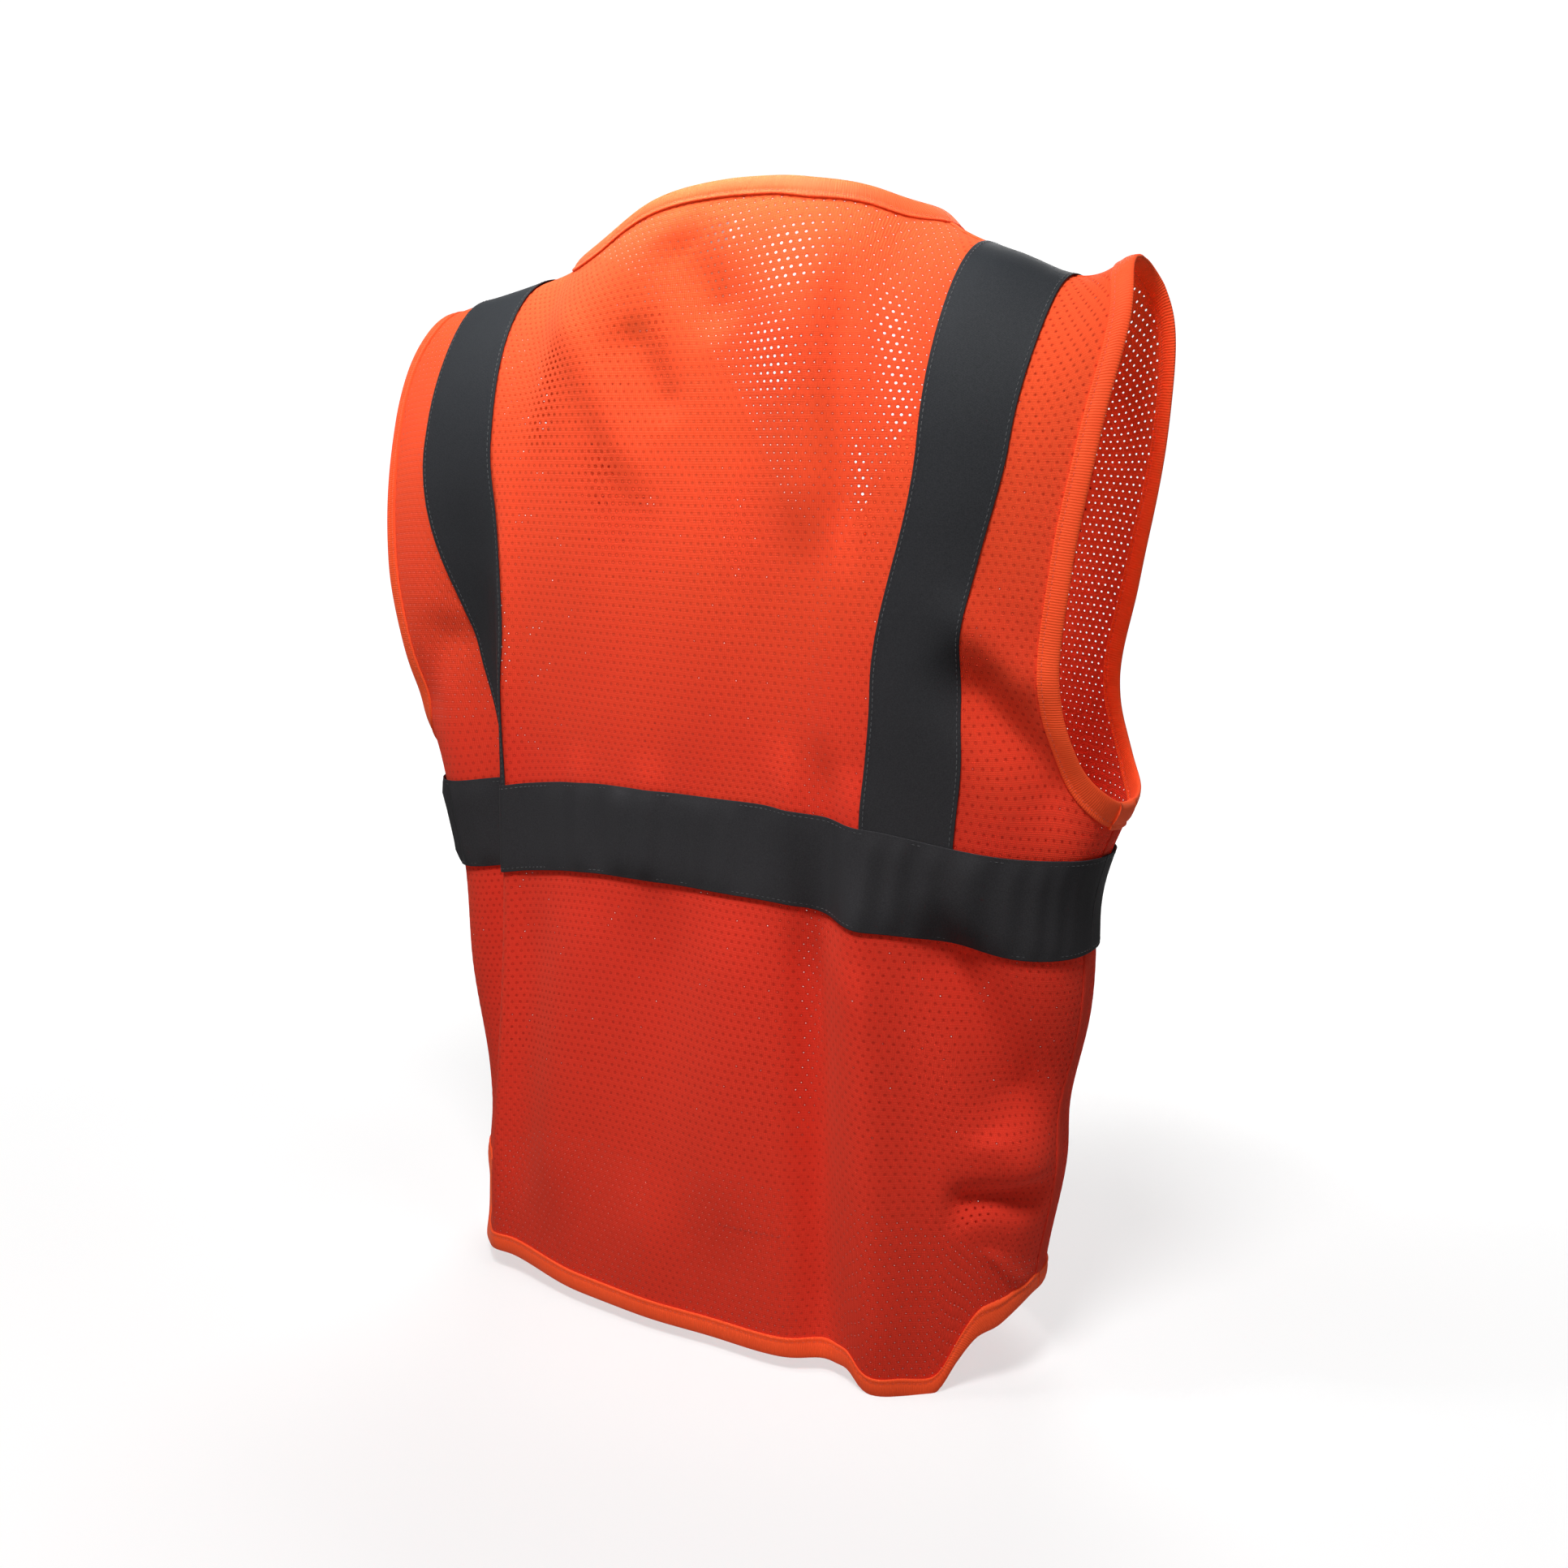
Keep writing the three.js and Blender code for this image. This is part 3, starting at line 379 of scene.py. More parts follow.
def armhole_line(hand):
    """From the shoulder tip down the back to the underarm and up the front again."""
    down = on_surface(BACK, ARMHOLE[BACK][:, 0], ARMHOLE[BACK][:, 1])
    up = on_surface(FRONT, ARMHOLE[FRONT][:, 0], ARMHOLE[FRONT][:, 1])[::-1]
    down[0] = (SHOULDER_TIP_X, 0, crest_z(SHOULDER_TIP_X))
    down[-1] = (UNDERARM[0], 0, UNDERARM_Z)
    loop = even(np.vstack([down, up[1:-1]]), LINE_SPACING, closed=True)
    return loop * (hand, 1, 1)


def back_neck_z(x):
    across = np.minimum(1, np.abs(x) / NECK_HALF_WIDTH)
    plan_y = BACK_NECK_DEPTH * (1 - across**ROUND_POWER) ** (1 / ROUND_POWER)
    out = np.minimum(0.99, np.abs(x) / CHEST_HALF_WIDTH)
    full_y = BACK_CHEST_DEPTH * (1 - out**CHEST_POWER) ** (1 / CHEST_POWER)
    share = np.minimum(1, plan_y / full_y) ** ROUND_POWER
    return crest_z(x) - round_height(x) * (1 - (1 - share) ** (1 / ROUND_POWER))


def front_neck_z(x):
    along = np.clip((np.abs(x) - FRONT_EDGE_X) / (NECK_HALF_WIDTH - FRONT_EDGE_X), 0, 1)
    return mix(FRONT_NECK_Z, crest_z(NECK_HALF_WIDTH), along**1.15)


def back_neck_line():
    x = NECK_HALF_WIDTH * np.cos(np.linspace(0, math.pi, 200))
    line = on_surface(BACK, x, back_neck_z(x))
    line[[0, -1], Y] = 0
    return even(line, LINE_SPACING)


def front_neck_line(hand):
    """From the front edge up to the shoulder line."""
    x = mix(FRONT_EDGE_X, NECK_HALF_WIDTH, 1 - (1 - np.linspace(0, 1, 160)) ** 2)
    line = on_surface(FRONT, x, np.minimum(front_neck_z(x), crest_z(x)))
    return even(line, LINE_SPACING) * (hand, 1, 1)


def hem_z(side, x):
    across = np.minimum(1, np.abs(x) / HEM_HALF_WIDTH)
    from_seam = np.arccos(across ** (HEM_POWER / 2)) / (math.pi / 2)
    front = mix(SIDE_HEM_Z, FRONT_HEM_Z, smooth(0.2, 0.65, from_seam))
    back = SIDE_HEM_Z * smooth(0.58, 1, 1 - from_seam)
    return np.where(np.asarray(side) == BACK, back, front)


def hem_line(side, from_x, to_x):
    """Along the hem between two values of x, which reach from one side seam to the other."""
    def turn(x):
        return math.acos(math.copysign((abs(x) / HEM_HALF_WIDTH) ** (HEM_POWER / 2), x))
    cos = np.cos(np.linspace(turn(from_x), turn(to_x), 500))
    x = HEM_HALF_WIDTH * np.sign(cos) * np.abs(cos) ** (2 / HEM_POWER)
    z = hem_z(side, x)
    wide = x / HEM_HALF_WIDTH * half_width(z)
    return even(on_surface(side, wide, z), LINE_SPACING)


def inset(line, closed, sign, distance):
    """The line moved along the surface, across its own direction."""
    ahead = np.roll(line, -1, 0)
    behind = np.roll(line, 1, 0)
    if not closed:
        ahead[-1] = line[-1]
        behind[0] = line[0]
    across = np.cross(outward(line), ahead - behind) * sign
    across /= np.linalg.norm(across, axis=1, keepdims=True)
    move = project(line + across * distance) - line
    for _ in range(10):
        before, after = np.roll(move, 1, 0), np.roll(move, -1, 0)
        if not closed:
            before[0], after[-1] = move[0], move[-1]
        move = (before + 2 * move + after) / 4
    return line + move


# ---- mesh making ----
def new_piece(name, points, faces, look, cloth=None):
    """An object of quads, from points in millimetres. cloth is each point's place in the flat cloth, and for a
    knitted mesh also how near it is to a hole."""
    mesh = bpy.data.meshes.new(name)
    mesh.vertices.add(len(points))
    mesh.vertices.foreach_set("co", (np.asarray(points) * MM).astype(np.float32).ravel())
    faces = np.asarray(faces, np.int32)
    mesh.loops.add(faces.size)
    mesh.loops.foreach_set("vertex_index", faces.ravel())
    mesh.polygons.add(len(faces))
    mesh.polygons.foreach_set("loop_start", np.arange(0, faces.size, 4, dtype=np.int32))
    mesh.polygons.foreach_set("use_smooth", np.ones(len(faces), bool))
    mesh.update(calc_edges=True)
    if cloth is not None:
        attribute = mesh.attributes.new("cloth", "FLOAT_VECTOR", "POINT")
        flat = np.zeros((len(points), 3), np.float32)
        flat[:, : cloth.shape[1]] = cloth * MM
        attribute.data.foreach_set("vector", flat.ravel())
    mesh.materials.append(look)
    piece = bpy.data.objects.new(name, mesh)
    bpy.context.scene.collection.objects.link(piece)
    return piece


def grid_faces(rows, columns, closed_rows=False, closed_columns=False):
    j = np.arange(rows if closed_rows else rows - 1)[:, None]
    i = np.arange(columns if closed_columns else columns - 1)[None, :]
    here, right = j * columns + i, j * columns + (i + 1) % columns
    up, up_right = (j + 1) % rows * columns + i, (j + 1) % rows * columns + (i + 1) % columns
    return np.stack([here, right, up_right, up], -1).reshape(-1, 4)


def end_caps(rows, columns):
    """Quads that close both ends of a tube whose profile runs along the rows' first and last halves."""
    caps = []
    for i in (0, columns - 1):
        ring = np.arange(rows) * columns + i
        for k in range(rows // 2 - 1):
            quad = [ring[k], ring[k + 1], ring[rows - 2 - k], ring[rows - 1 - k]]
            caps.append(quad if i else quad[::-1])
    return np.array(caps)


def turned_out(points, faces):
    """The same faces of a closed body, with their normals pointing out."""
    a, b, c, d = (points[faces[:, k]] for k in range(4))
    volume = (np.cross(a, b) * c).sum() + (np.cross(a, c) * d).sum()
    return faces[:, ::-1] if volume < 0 else faces


def tube(name, rows, look, closed=False):
    """A closed body from rows of points, where each row follows the line and the rows go round the profile."""
    rows = np.array(rows)
    count, length = rows.shape[:2]
    faces = grid_faces(count, length, closed_rows=True, closed_columns=closed)
    if not closed:
        faces = np.vstack([faces, end_caps(count, length)])
    steps = np.linalg.norm(np.diff(rows[0], axis=0), axis=1)
    along = np.concatenate([[0], np.cumsum(steps)])
    round_it = np.concatenate([[0], np.cumsum(np.linalg.norm(np.diff(rows[:, 0], axis=0), axis=1))])
    cloth = np.stack(np.broadcast_arrays(along[None, :], round_it[:, None]), -1).reshape(-1, 2)
    points = rows.reshape(-1, 3)
    return new_piece(name, points, turned_out(points, faces), look, cloth)


# ---- knitted mesh panels ----
CELL = 4.4  # from hole to hole along a row
ROW = CELL * math.sqrt(3) / 2
HOLE_SHAPE = (1.0, 0.85)
CLOSED_HOLE = 0.32  # half width of a hole where the cloth is slack
OPEN_HOLE = 0.88  # and where it is pulled tight
HOLE_SINK = 0.34  # the rim of a hole lies this much deeper than the ribs between the holes
TABLE_STEP = 4.0
EDGE_MARGIN = 2.6


TIGHT_CLOTH = (
    # (start, end, half width); start and end are (x, z), on the back
    ((82, 545), (96, 478), 11),
    ((52, 484), (38, 420), 12),
    ((30, 470), (16, 440), 9),
    ((14, 500), (12, 482), 6),
    ((18, 552), (8, 512), 6),
    ((-22, 594), (-24, 578), 13),
    ((-55, 585), (-62, 552), 17),
    ((-48, 545), (-60, 508), 14),
    ((-98, 490), (-110, 424), 4),
    ((-106, 560), (-128, 470), 9),
    ((-32, 466), (-39, 412), 6),
    ((-166, 106), (-166, 88), 9),
)


def openness(side, points):
    """0 where the cloth is slack and its holes are nearly closed, 1 where it is tight. It is slackest at the
    hem, along the middle of the back and beside the left armhole."""
    x, z = points[:, X], points[:, Z]
    if side == FRONT:
        return 0.6 * smooth(140, 190, np.abs(x)) * smooth(330, 390, z)
    tight = sum(fold(x, z, start, end, width, 1.0) for start, end, width in TIGHT_CLOTH)
    slack = 1 - smooth(8, 16, np.abs(x)) * (1 - 1.6 * smooth(130, 160, x) * smooth(270, 310, z))
    gap = fold(x, z, (-82, 560), (-92, -20), 16, 0.42)
    return np.clip(tight, 0, 1) - 0.2 * slack - 0.3 * (1 - smooth(110, 150, z)) - gap * (1 - np.clip(tight, 0, 1))


def section_arc(side, z, places):
    """x and y at distances along the section at a height, from its middle out to the side seam."""
    turn = np.linspace(math.pi / 2, 0, 400)
    p = section_power(z)
    x = half_width(z) * np.maximum(np.cos(turn), 0) ** (2 / p)
    y = side * half_depth(side, z) * np.sin(turn) ** (2 / p)
    arc = np.concatenate([[0], np.cumsum(np.hypot(np.diff(x), np.diff(y)))])
    return np.interp(places, arc, x), np.interp(places, arc, y), arc[-1]


def cloth_table(side):
    """Points of the surface for cloth that is flat: columns run up from the hem, rows run out from the middle."""
    across = np.arange(0, 330, TABLE_STEP)
    heights = np.arange(0, SHOULDER_BASE_Z + 1, 2.0)
    rows = [section_arc(side, z, across) for z in heights]
    seam = np.array([r[2] for r in rows])
    columns = np.array([np.stack([r[0], r[1], np.full_like(across, z)], -1) for r, z in zip(rows, heights)])
    x = columns[-1, :, X]
    share = section_share(x, SHOULDER_BASE_Z)
    top, tall = crest_z(x), round_height(x)
    straight = []
    for t in np.linspace(0, 1, 30)[1:]:
        z = mix(SHOULDER_BASE_Z, np.maximum(top - tall, SHOULDER_BASE_Z), t)
        straight.append(np.stack([x, side * half_depth(side, z) * share, z], -1))
    rounded = []
    for turn in np.linspace(math.pi / 2, 0, 60)[1:]:
        inward = max(math.sin(turn), 0) ** (2 / ROUND_POWER)
        z = top - tall * (1 - max(math.cos(turn), 0) ** (2 / ROUND_POWER))
        rounded.append(np.stack([x, side * half_depth(side, z) * share * inward, z], -1))
    columns = np.vstack([columns, np.array(straight), np.array(rounded)])
    steps = np.linalg.norm(np.diff(columns, axis=0), axis=2)
    up = np.vstack([np.zeros(len(across)), np.cumsum(steps, 0)])
    ups = np.arange(0, up.max() + TABLE_STEP, TABLE_STEP)
    points = np.stack([
        np.stack([np.interp(ups, up[:, i], columns[:, i, k]) for i in range(len(across))], 1) for k in range(3)
    ], -1)
    return {"points": points, "normals": outward(points), "top": up[-1], "seam": seam, "heights": heights}


def from_cloth(table, places):
    """Surface points and normals at flat places, and how far each is from the shoulder line and the side seam."""
    across, up = np.abs(places[:, 0]), places[:, 1]
    shape = table["points"].shape
    i = np.clip(across / TABLE_STEP, 0, shape[1] - 1.001)
    j = np.clip(up / TABLE_STEP, 0, shape[0] - 1.001)
    i0, j0 = i.astype(int), j.astype(int)
    fi, fj = (i - i0)[:, None], (j - j0)[:, None]
    mirror = np.stack([np.sign(places[:, 0] + 1e-9), np.ones(len(up)), np.ones(len(up))], 1)

    def read(grid):
        low = mix(grid[j0, i0], grid[j0, i0 + 1], fi)
        high = mix(grid[j0 + 1, i0], grid[j0 + 1, i0 + 1], fi)
        return mix(low, high, fj) * mirror

    points = read(table["points"])
    normals = read(table["normals"])
    normals /= np.linalg.norm(normals, axis=1, keepdims=True)
    to_top = np.interp(across, np.arange(shape[1]) * TABLE_STEP, table["top"]) - up
    to_seam = np.interp(points[:, Z], table["heights"], table["seam"]) - across
    return points, normals, to_top, to_seam


def far_from(points, line, distance):
    near = np.full(len(points), np.inf)
    for part in np.array_split(line, max(1, len(line) // 40)):
        gap = np.linalg.norm(points[:, None, :] - part[None, :, :], axis=2).min(1)
        near = np.minimum(near, gap)
    return near > distance


def inside_cut(side, points):
    """True for surface points between the hem, the neckline and the armholes."""
    x, z = np.abs(points[:, X]), points[:, Z]
    arm = ARMHOLE[side]
    arm_x = np.interp(z, arm[::-1, 1], arm[::-1, 0])
    neck = back_neck_z(x) if side == BACK else front_neck_z(x)
    under_neck = (x > NECK_HALF_WIDTH) | (z < neck)
    hem = hem_z(side, x / half_width(z) * HEM_HALF_WIDTH)
    return (z > hem) & under_neck & ((z < UNDERARM_Z) | (x < arm_x))


def mesh_panel(name, side, table, look, edges, hand=None):
    """A panel of knitted mesh: a six-sided cell of cloth round each hole, in staggered rows."""
    top_row, last = int(720 / ROW), int(330 / CELL)
    k, i = np.meshgrid(np.arange(top_row), np.arange(-last, last + 1), indexing="ij")
    centres = np.stack([(i + 0.5 * (k % 2)) * CELL, k * ROW + 0.5], -1).reshape(-1, 2)
    if hand:
        centres = centres[centres[:, 0] * hand > 0]
    points, _, to_top, to_seam = from_cloth(table, centres)
    keep = inside_cut(side, points) & (to_top > 1) & (to_seam > 1)
    if hand:
        keep &= points[:, X] * hand > FRONT_EDGE_X + 2
    centres, points = centres[keep], points[keep]
    keep = np.ones(len(centres), bool)
    for line in edges:
        keep &= far_from(points, line, EDGE_MARGIN)
    centres, points = centres[keep], points[keep]
    hole_size = mix(CLOSED_HOLE, OPEN_HOLE, openness(side, points))[:, None, None]

    angles = np.radians(30 + 60 * np.arange(6))
    ring = np.stack([np.cos(angles), np.sin(angles)], 1)
    corners = centres[:, None, :] + ring[None] * CELL / math.sqrt(3)
    holes = centres[:, None, :] + ring[None] * HOLE_SHAPE * hole_size
    keys = np.round(corners.reshape(-1, 2) * 20).astype(np.int64)
    _, first, shared = np.unique(keys, axis=0, return_index=True, return_inverse=True)
    flat = np.vstack([corners.reshape(-1, 2)[first], holes.reshape(-1, 2)])
    sink = np.concatenate([np.zeros(len(first)), np.full(holes.shape[0] * 6, -HOLE_SINK)])
    surface, normals, _, _ = from_cloth(table, flat)
    laid = lay(surface, normals, sink)

    outer = shared.reshape(-1, 6)
    inner = len(first) + np.arange(len(centres) * 6).reshape(-1, 6)
    faces = np.stack([outer, np.roll(outer, -1, 1), np.roll(inner, -1, 1), inner], -1).reshape(-1, 4)
    a, b, c = (laid[faces[:, n]] for n in range(3))
    if (np.cross(b - a, c - a) * normals[faces[:, 0]]).sum() < 0:
        faces = faces[:, ::-1]
    rim = np.concatenate([np.zeros(len(first)), np.ones(holes.shape[0] * 6)])
    return new_piece(name, laid, faces, look, np.column_stack([flat, rim / MM]))


# ---- bindings: tape folded over an edge, flattest where it is stitched ----
STITCH_LENGTH = 2.3
STITCH_PITCH = 3.0
STITCH_RADIUS = 0.24


def folded_profile(width, skin):
    """(distance in from the edge, offset from the cloth's middle) round a folded band."""
    outer = [(width, 0.75), (width - 0.5, 1.0), (width - 1.4, 0.98), (width - 2.2, 0.72), (width - 3.0, 1.05),
             (0.55 * width, 1.3), (0.3 * width, 1.35), (0.1 * width, 1.15), (-0.3, 0.75), (-0.75, 0.25)]
    outer = [(distance, offset * skin) for distance, offset in outer]
    return outer + [(distance, -offset) for distance, offset in reversed(outer)]


def binding(name, line, closed, sign, look, width=None, skin=BINDING_SKIN):
    width = width or BINDING_WIDTH
    normals = outward(line)
    rows = []
    for distance, offset in folded_profile(width, skin):
        base = inset(line, closed, sign, distance) if distance > 0 else line
        row = lay(base, outward(base) if distance > 0 else normals, np.full(len(base), offset))
        if distance <= 0:
            edge = lay(line, normals, np.zeros(len(line)))
            inner = lay(inset(line, closed, sign, 1.0), outward(inset(line, closed, sign, 1.0)), np.zeros(len(line)))
            row = row + (edge - inner) * -distance
        rows.append(row)
    return tube(name, rows, look, closed)


def thread_bits(name, tracks, look, length=STITCH_LENGTH, pitch=STITCH_PITCH, radius=STITCH_RADIUS):
    """A row of short stitches along each track, a pair of (line, normals) that lies on the cloth's face."""
    sides, rings = 6, ((-0.5, 0.15, -0.5), (-0.3, 0.85, 0.25), (0.0, 1.0, 0.55), (0.3, 0.85, 0.25), (0.5, 0.15, -0.5))
    angle = np.arange(sides) * 2 * math.pi / sides
    all_points, all_faces, base = [], [], 0
    one = grid_faces(len(rings), sides, closed_columns=True)
    caps = np.array([[0, 3, 2, 1], [0, 5, 4, 3]])
    one = np.vstack([one, caps, caps[:, ::-1] + (len(rings) - 1) * sides])
    for line, normals in tracks:
        spacing = np.linalg.norm(np.diff(line, axis=0), axis=1)
        at = np.concatenate([[0], np.cumsum(spacing)])
        for middle in np.arange(pitch / 2, at[-1] - pitch / 2, pitch):
            span = np.array([np.interp(middle + length * r[0], at, line[:, k]) for r in rings for k in range(3)])
            span = span.reshape(-1, 3)
            normal = np.array([np.interp(middle, at, normals[:, k]) for k in range(3)])
            normal /= np.linalg.norm(normal)
            side = np.cross(span[-1] - span[0], normal)
            side /= np.linalg.norm(side)
            for centre, (_, share, height) in zip(span, rings):
                centre = centre + normal * radius * height
                ring = np.outer(np.cos(angle), side) + np.outer(np.sin(angle), normal) * 0.8
                all_points.append(centre + ring * radius * share)
            all_faces.append(one + base)
            base += len(rings) * sides
    return new_piece(name, np.vstack(all_points), np.vstack(all_faces), look)


def edge_track(line, closed, sign, distance, offset):
    """The line moved in from the edge and laid on the cloth, with its normals, turned to face out of the face."""
    base = inset(line, closed, sign, distance)
    normals = outward(base)
    track = lay(base, normals, np.full(len(base), offset))
    return track, normals * math.copysign(1, offset)


def both_faces(line, closed, sign, distance, offset):
    return [edge_track(line, closed, sign, distance, o) for o in (offset, -offset)]


# ---- reflective tape ----
TAPE_THICKNESS = 0.45
WAIST_TAPE_OFFSET = 1.4
SHOULDER_TAPE_OFFSET = 0.85
TAPE_STITCH_INSET = 2.0


def across_tape(rows):
    """Shares of a tape's width, with a row close to each edge so that the edge stays crisp."""
    return np.concatenate([[0, 0.008], np.linspace(0.05, 0.95, rows - 4), [0.992, 1]])


def tape_sheet(name, base, offset, pucker, look):
    """A thin closed strip on rows of surface points, puckered a little between its two rows of stitches."""
    normals = outward(base)
    share = across_tape(base.shape[0])[:, None]
    held = smooth(0, 0.12, share) * smooth(0, 0.12, 1 - share)
    height = offset + held * pucker
    outer = lay(base, normals, height + TAPE_THICKNESS)
    inner = lay(base, normals, height)
    return tube(name, np.concatenate([outer, inner[::-1]]), look)


def waist_pucker(points):
    """Soft upright puckers, in patches."""
    x, y, z = points[..., X], points[..., Y], points[..., Z]
    round_it = x + np.sign(x) * (BACK_WAIST_DEPTH - np.abs(y))
    patches = 0.6 + 0.4 * np.sin(round_it / 31 + 0.8)
    waves = 1 + np.sin(round_it / 3.2 + 1.9 * np.sin(round_it / 19) + z / 40)
    swells = 1 + np.sin(round_it / 8.3 + 2.1 - z / 60)
    return patches * (0.9 * waves + 0.7 * swells)


def waist_points(side, from_x, to_x, rows=13):
    """Rows of surface points round the waist, between two values of x on one side."""
    def turn(x):
        return math.acos(math.copysign(min(1, abs(x) / WAIST_HALF_WIDTH) ** (HEM_POWER / 2), x))
    cos = np.cos(np.linspace(turn(from_x), turn(to_x), 260 if side == BACK else 120))
    across = np.sign(cos) * np.abs(cos) ** (2 / HEM_POWER)
    z = mix(WAIST_TAPE_BOTTOM, WAIST_TAPE_TOP, across_tape(rows))[:, None]
    return on_surface(side, across * half_width(z), z)


def tape_stitches(name, base, offset, look):
    """Two rows of stitches, one near each long edge of a tape."""
    share = TAPE_STITCH_INSET / TAPE_WIDTH
    rows = across_tape(len(base))
    tracks = []
    for at in (share, 1 - share):
        above = np.searchsorted(rows, at)
        line = mix(base[above - 1], base[above], (at - rows[above - 1]) / (rows[above] - rows[above - 1]))
        normals = outward(line)
        tracks.append((lay(line, normals, np.full(len(line), offset + TAPE_THICKNESS)), normals))
    return thread_bits(name, tracks, look, radius=0.2)


def tape_inner_x(z):
    """The inner edge of a shoulder tape, which leans out as it goes up."""
    knots = ((106, WAIST_TAPE_TOP), (110, 367), (130, 487), (134, 600))
    x = np.full_like(z, knots[0][0])
    for (x0, z0), (x1, z1) in zip(knots, knots[1:]):
        x = np.where(z >= z0, mix(x0, x1, smooth(z0, z1, z)), x)
    return x


def shoulder_tape_points(hand, columns=11, half=150):
    """Rows across the tape, from under the waist tape at the back, over the shoulder, to the front. The foot
    of the left tape is caught in the fold beside it: it has slipped out, and a pleat takes up part of it."""
    up = np.concatenate([np.linspace(0, 1, half), np.linspace(1, 0, half)[1:]])
    side = np.where(np.arange(len(up)) < half, BACK, FRONT)[None, :]
    across = (TAPE_WIDTH * across_tape(columns))[:, None]
    bottom = WAIST_TAPE_TOP - 8
    top = crest_z(tape_inner_x(np.array([600.0])) + 0.97 * across)
    z = mix(bottom, top, np.sin(up * math.pi / 2)[None, :])
    pleated = (1 - smooth(300, 460, z)) * (side == BACK) * (hand == LEFT)
    x = tape_inner_x(z) + 13 * pleated + across * (mix(0.9, 0.97, up)[None, :] - 0.3 * pleated)
    points = on_surface(side, x, np.minimum(z, crest_z(x)))
    lines = [even(line, 2.5) for line in points]
    count = min(len(line) for line in lines)
    rows = [np.stack([np.interp(np.linspace(0, 1, count), np.linspace(0, 1, len(line)), line[:, k])
                      for k in range(3)], 1) for line in lines]
    return np.array(rows) * (hand, 1, 1)


# ---- materials ----
class Look:
    """A material of shader nodes round one Principled shader."""

    def __init__(self, name, **values):
        self.material = bpy.data.materials.new(name)
        self.material.use_nodes = True
        self.nodes = self.material.node_tree.nodes
        self.links = self.material.node_tree.links
        self.shader = self.nodes["Principled BSDF"]
        for key, value in values.items():
            self.shader.inputs[key.replace("_", " ")].default_value = value

    def node(self, kind, inputs=(), **settings):
        node = self.nodes.new("ShaderNode" + kind)
        for key, value in settings.items():
            setattr(node, key, value)
        for key, value in dict(inputs).items():
            if isinstance(value, bpy.types.NodeSocket):
                self.links.new(value, node.inputs[key])
            else:
                node.inputs[key].default_value = value
        return node

    def cloth(self):
        """Each point's place in the flat cloth, in metres."""
        return self.node("Attribute", attribute_name="cloth").outputs["Vector"]

    def place(self):
        return self.node("TexCoord").outputs["Object"]

    def noise(self, vector, scale, detail=2.0):
        return self.node("TexNoise", {"Vector": vector, "Scale": scale, "Detail": detail}).outputs["Fac"]

    def bands(self, vector, period, axis="X"):
        """Even ridges across one axis, period metres apart."""
        wave = self.node("TexWave", {"Vector": vector, "Scale": 2 * math.pi / period / 20}, wave_type="BANDS",
                         bands_direction=axis)
        return wave.outputs["Fac"]

    def ramp(self, value, low, high, at=(0.3, 0.7)):
        ramp = self.node("ValToRGB", {"Fac": value})
        ends = ramp.color_ramp.elements
        ends[0].position, ends[1].position = at
        ends[0].color, ends[1].color = (*low, 1), (*high, 1)
        return ramp.outputs["Color"]

    def add(self, a, b, operation="ADD"):
        return self.node("Math", {0: a, 1: b}, operation=operation).outputs[0]

    def bump(self, height, strength, distance):
        bump = self.node("Bump", {"Height": height, "Strength": strength, "Distance": distance})
        self.links.new(bump.outputs["Normal"], self.shader.inputs["Normal"])

    def let_light_through(self, colour, share):
        """Thin cloth passes some of the light that falls on its other face."""
        glow = self.node("BsdfTranslucent", {"Color": colour}).outputs[0]
        both = self.node("MixShader", {0: share, 1: self.shader.outputs[0], 2: glow}).outputs[0]
        self.links.new(both, self.nodes["Material Output"].inputs["Surface"])

    def use(self, output, key):
        self.links.new(output, self.shader.inputs[key])


def mesh_look():
    look = Look("orange_mesh", Roughness=0.85, Sheen_Weight=0.12, Sheen_Roughness=0.5)
    look.shader.inputs["Sheen Tint"].default_value = (1.0, 0.45, 0.25, 1)
    look.shader.inputs["Specular IOR Level"].default_value = 0.15
    # Painted light: the base colour grows lighter and more orange with height, painted top light and painted shade
    # lower down; the noise patches add tone that differs at random.
    height = look.node("SeparateXYZ", {0: look.place()}).outputs["Z"]
    patches = look.add(look.noise(look.place(), 14, 3), 0.12, "MULTIPLY")
    cloth = look.ramp(look.add(height, patches), (0.84, 0.044, 0.021), (0.93, 0.112, 0.026), at=(0.34, 0.70))
    # Painted shade: the colour darkens towards dark red at the rims of the holes, standing in for the shade inside
    # them.
    rim = look.node("SeparateXYZ", {0: look.cloth()}).outputs["Z"]
    depth = look.node("MapRange", {0: rim, 1: 0.60, 2: 0.85, 3: 0.0, 4: 0.45}).outputs[0]
    colour_with_painted_shade = look.node("Mix", {0: depth, 6: cloth, 7: (0.40, 0.012, 0.006, 1)}, data_type="RGBA").outputs[2]
    look.use(colour_with_painted_shade, "Base Color")
    ribs = look.add(look.bands(look.cloth(), 0.0011), look.bands(look.cloth(), 0.0008, "Y"))
    look.bump(ribs, 0.35, 0.0004)
    look.let_light_through(colour_with_painted_shade, 0.15)
    return look.material


def binding_look():
    look = Look("orange_binding", Roughness=0.7, Sheen_Weight=0.15, Sheen_Roughness=0.4)
    look.shader.inputs["Sheen Tint"].default_value = (1.0, 0.5, 0.3, 1)
    look.shader.inputs["Specular IOR Level"].default_value = 0.2
    patches = look.noise(look.place(), 40, 3)
    look.use(look.ramp(patches, (0.92, 0.080, 0.018), (0.96, 0.092, 0.021)), "Base Color")
    # Painted glow: a faint orange emission lifts the binding above the light that falls on it.
    look.shader.inputs["Emission Color"].default_value = (1.0, 0.09, 0.01, 1)
    look.shader.inputs["Emission Strength"].default_value = 0.06
    ribs = look.add(look.bands(look.cloth(), 0.0013), look.noise(look.place(), 900))
    look.bump(ribs, 0.5, 0.0003)
    return look.material


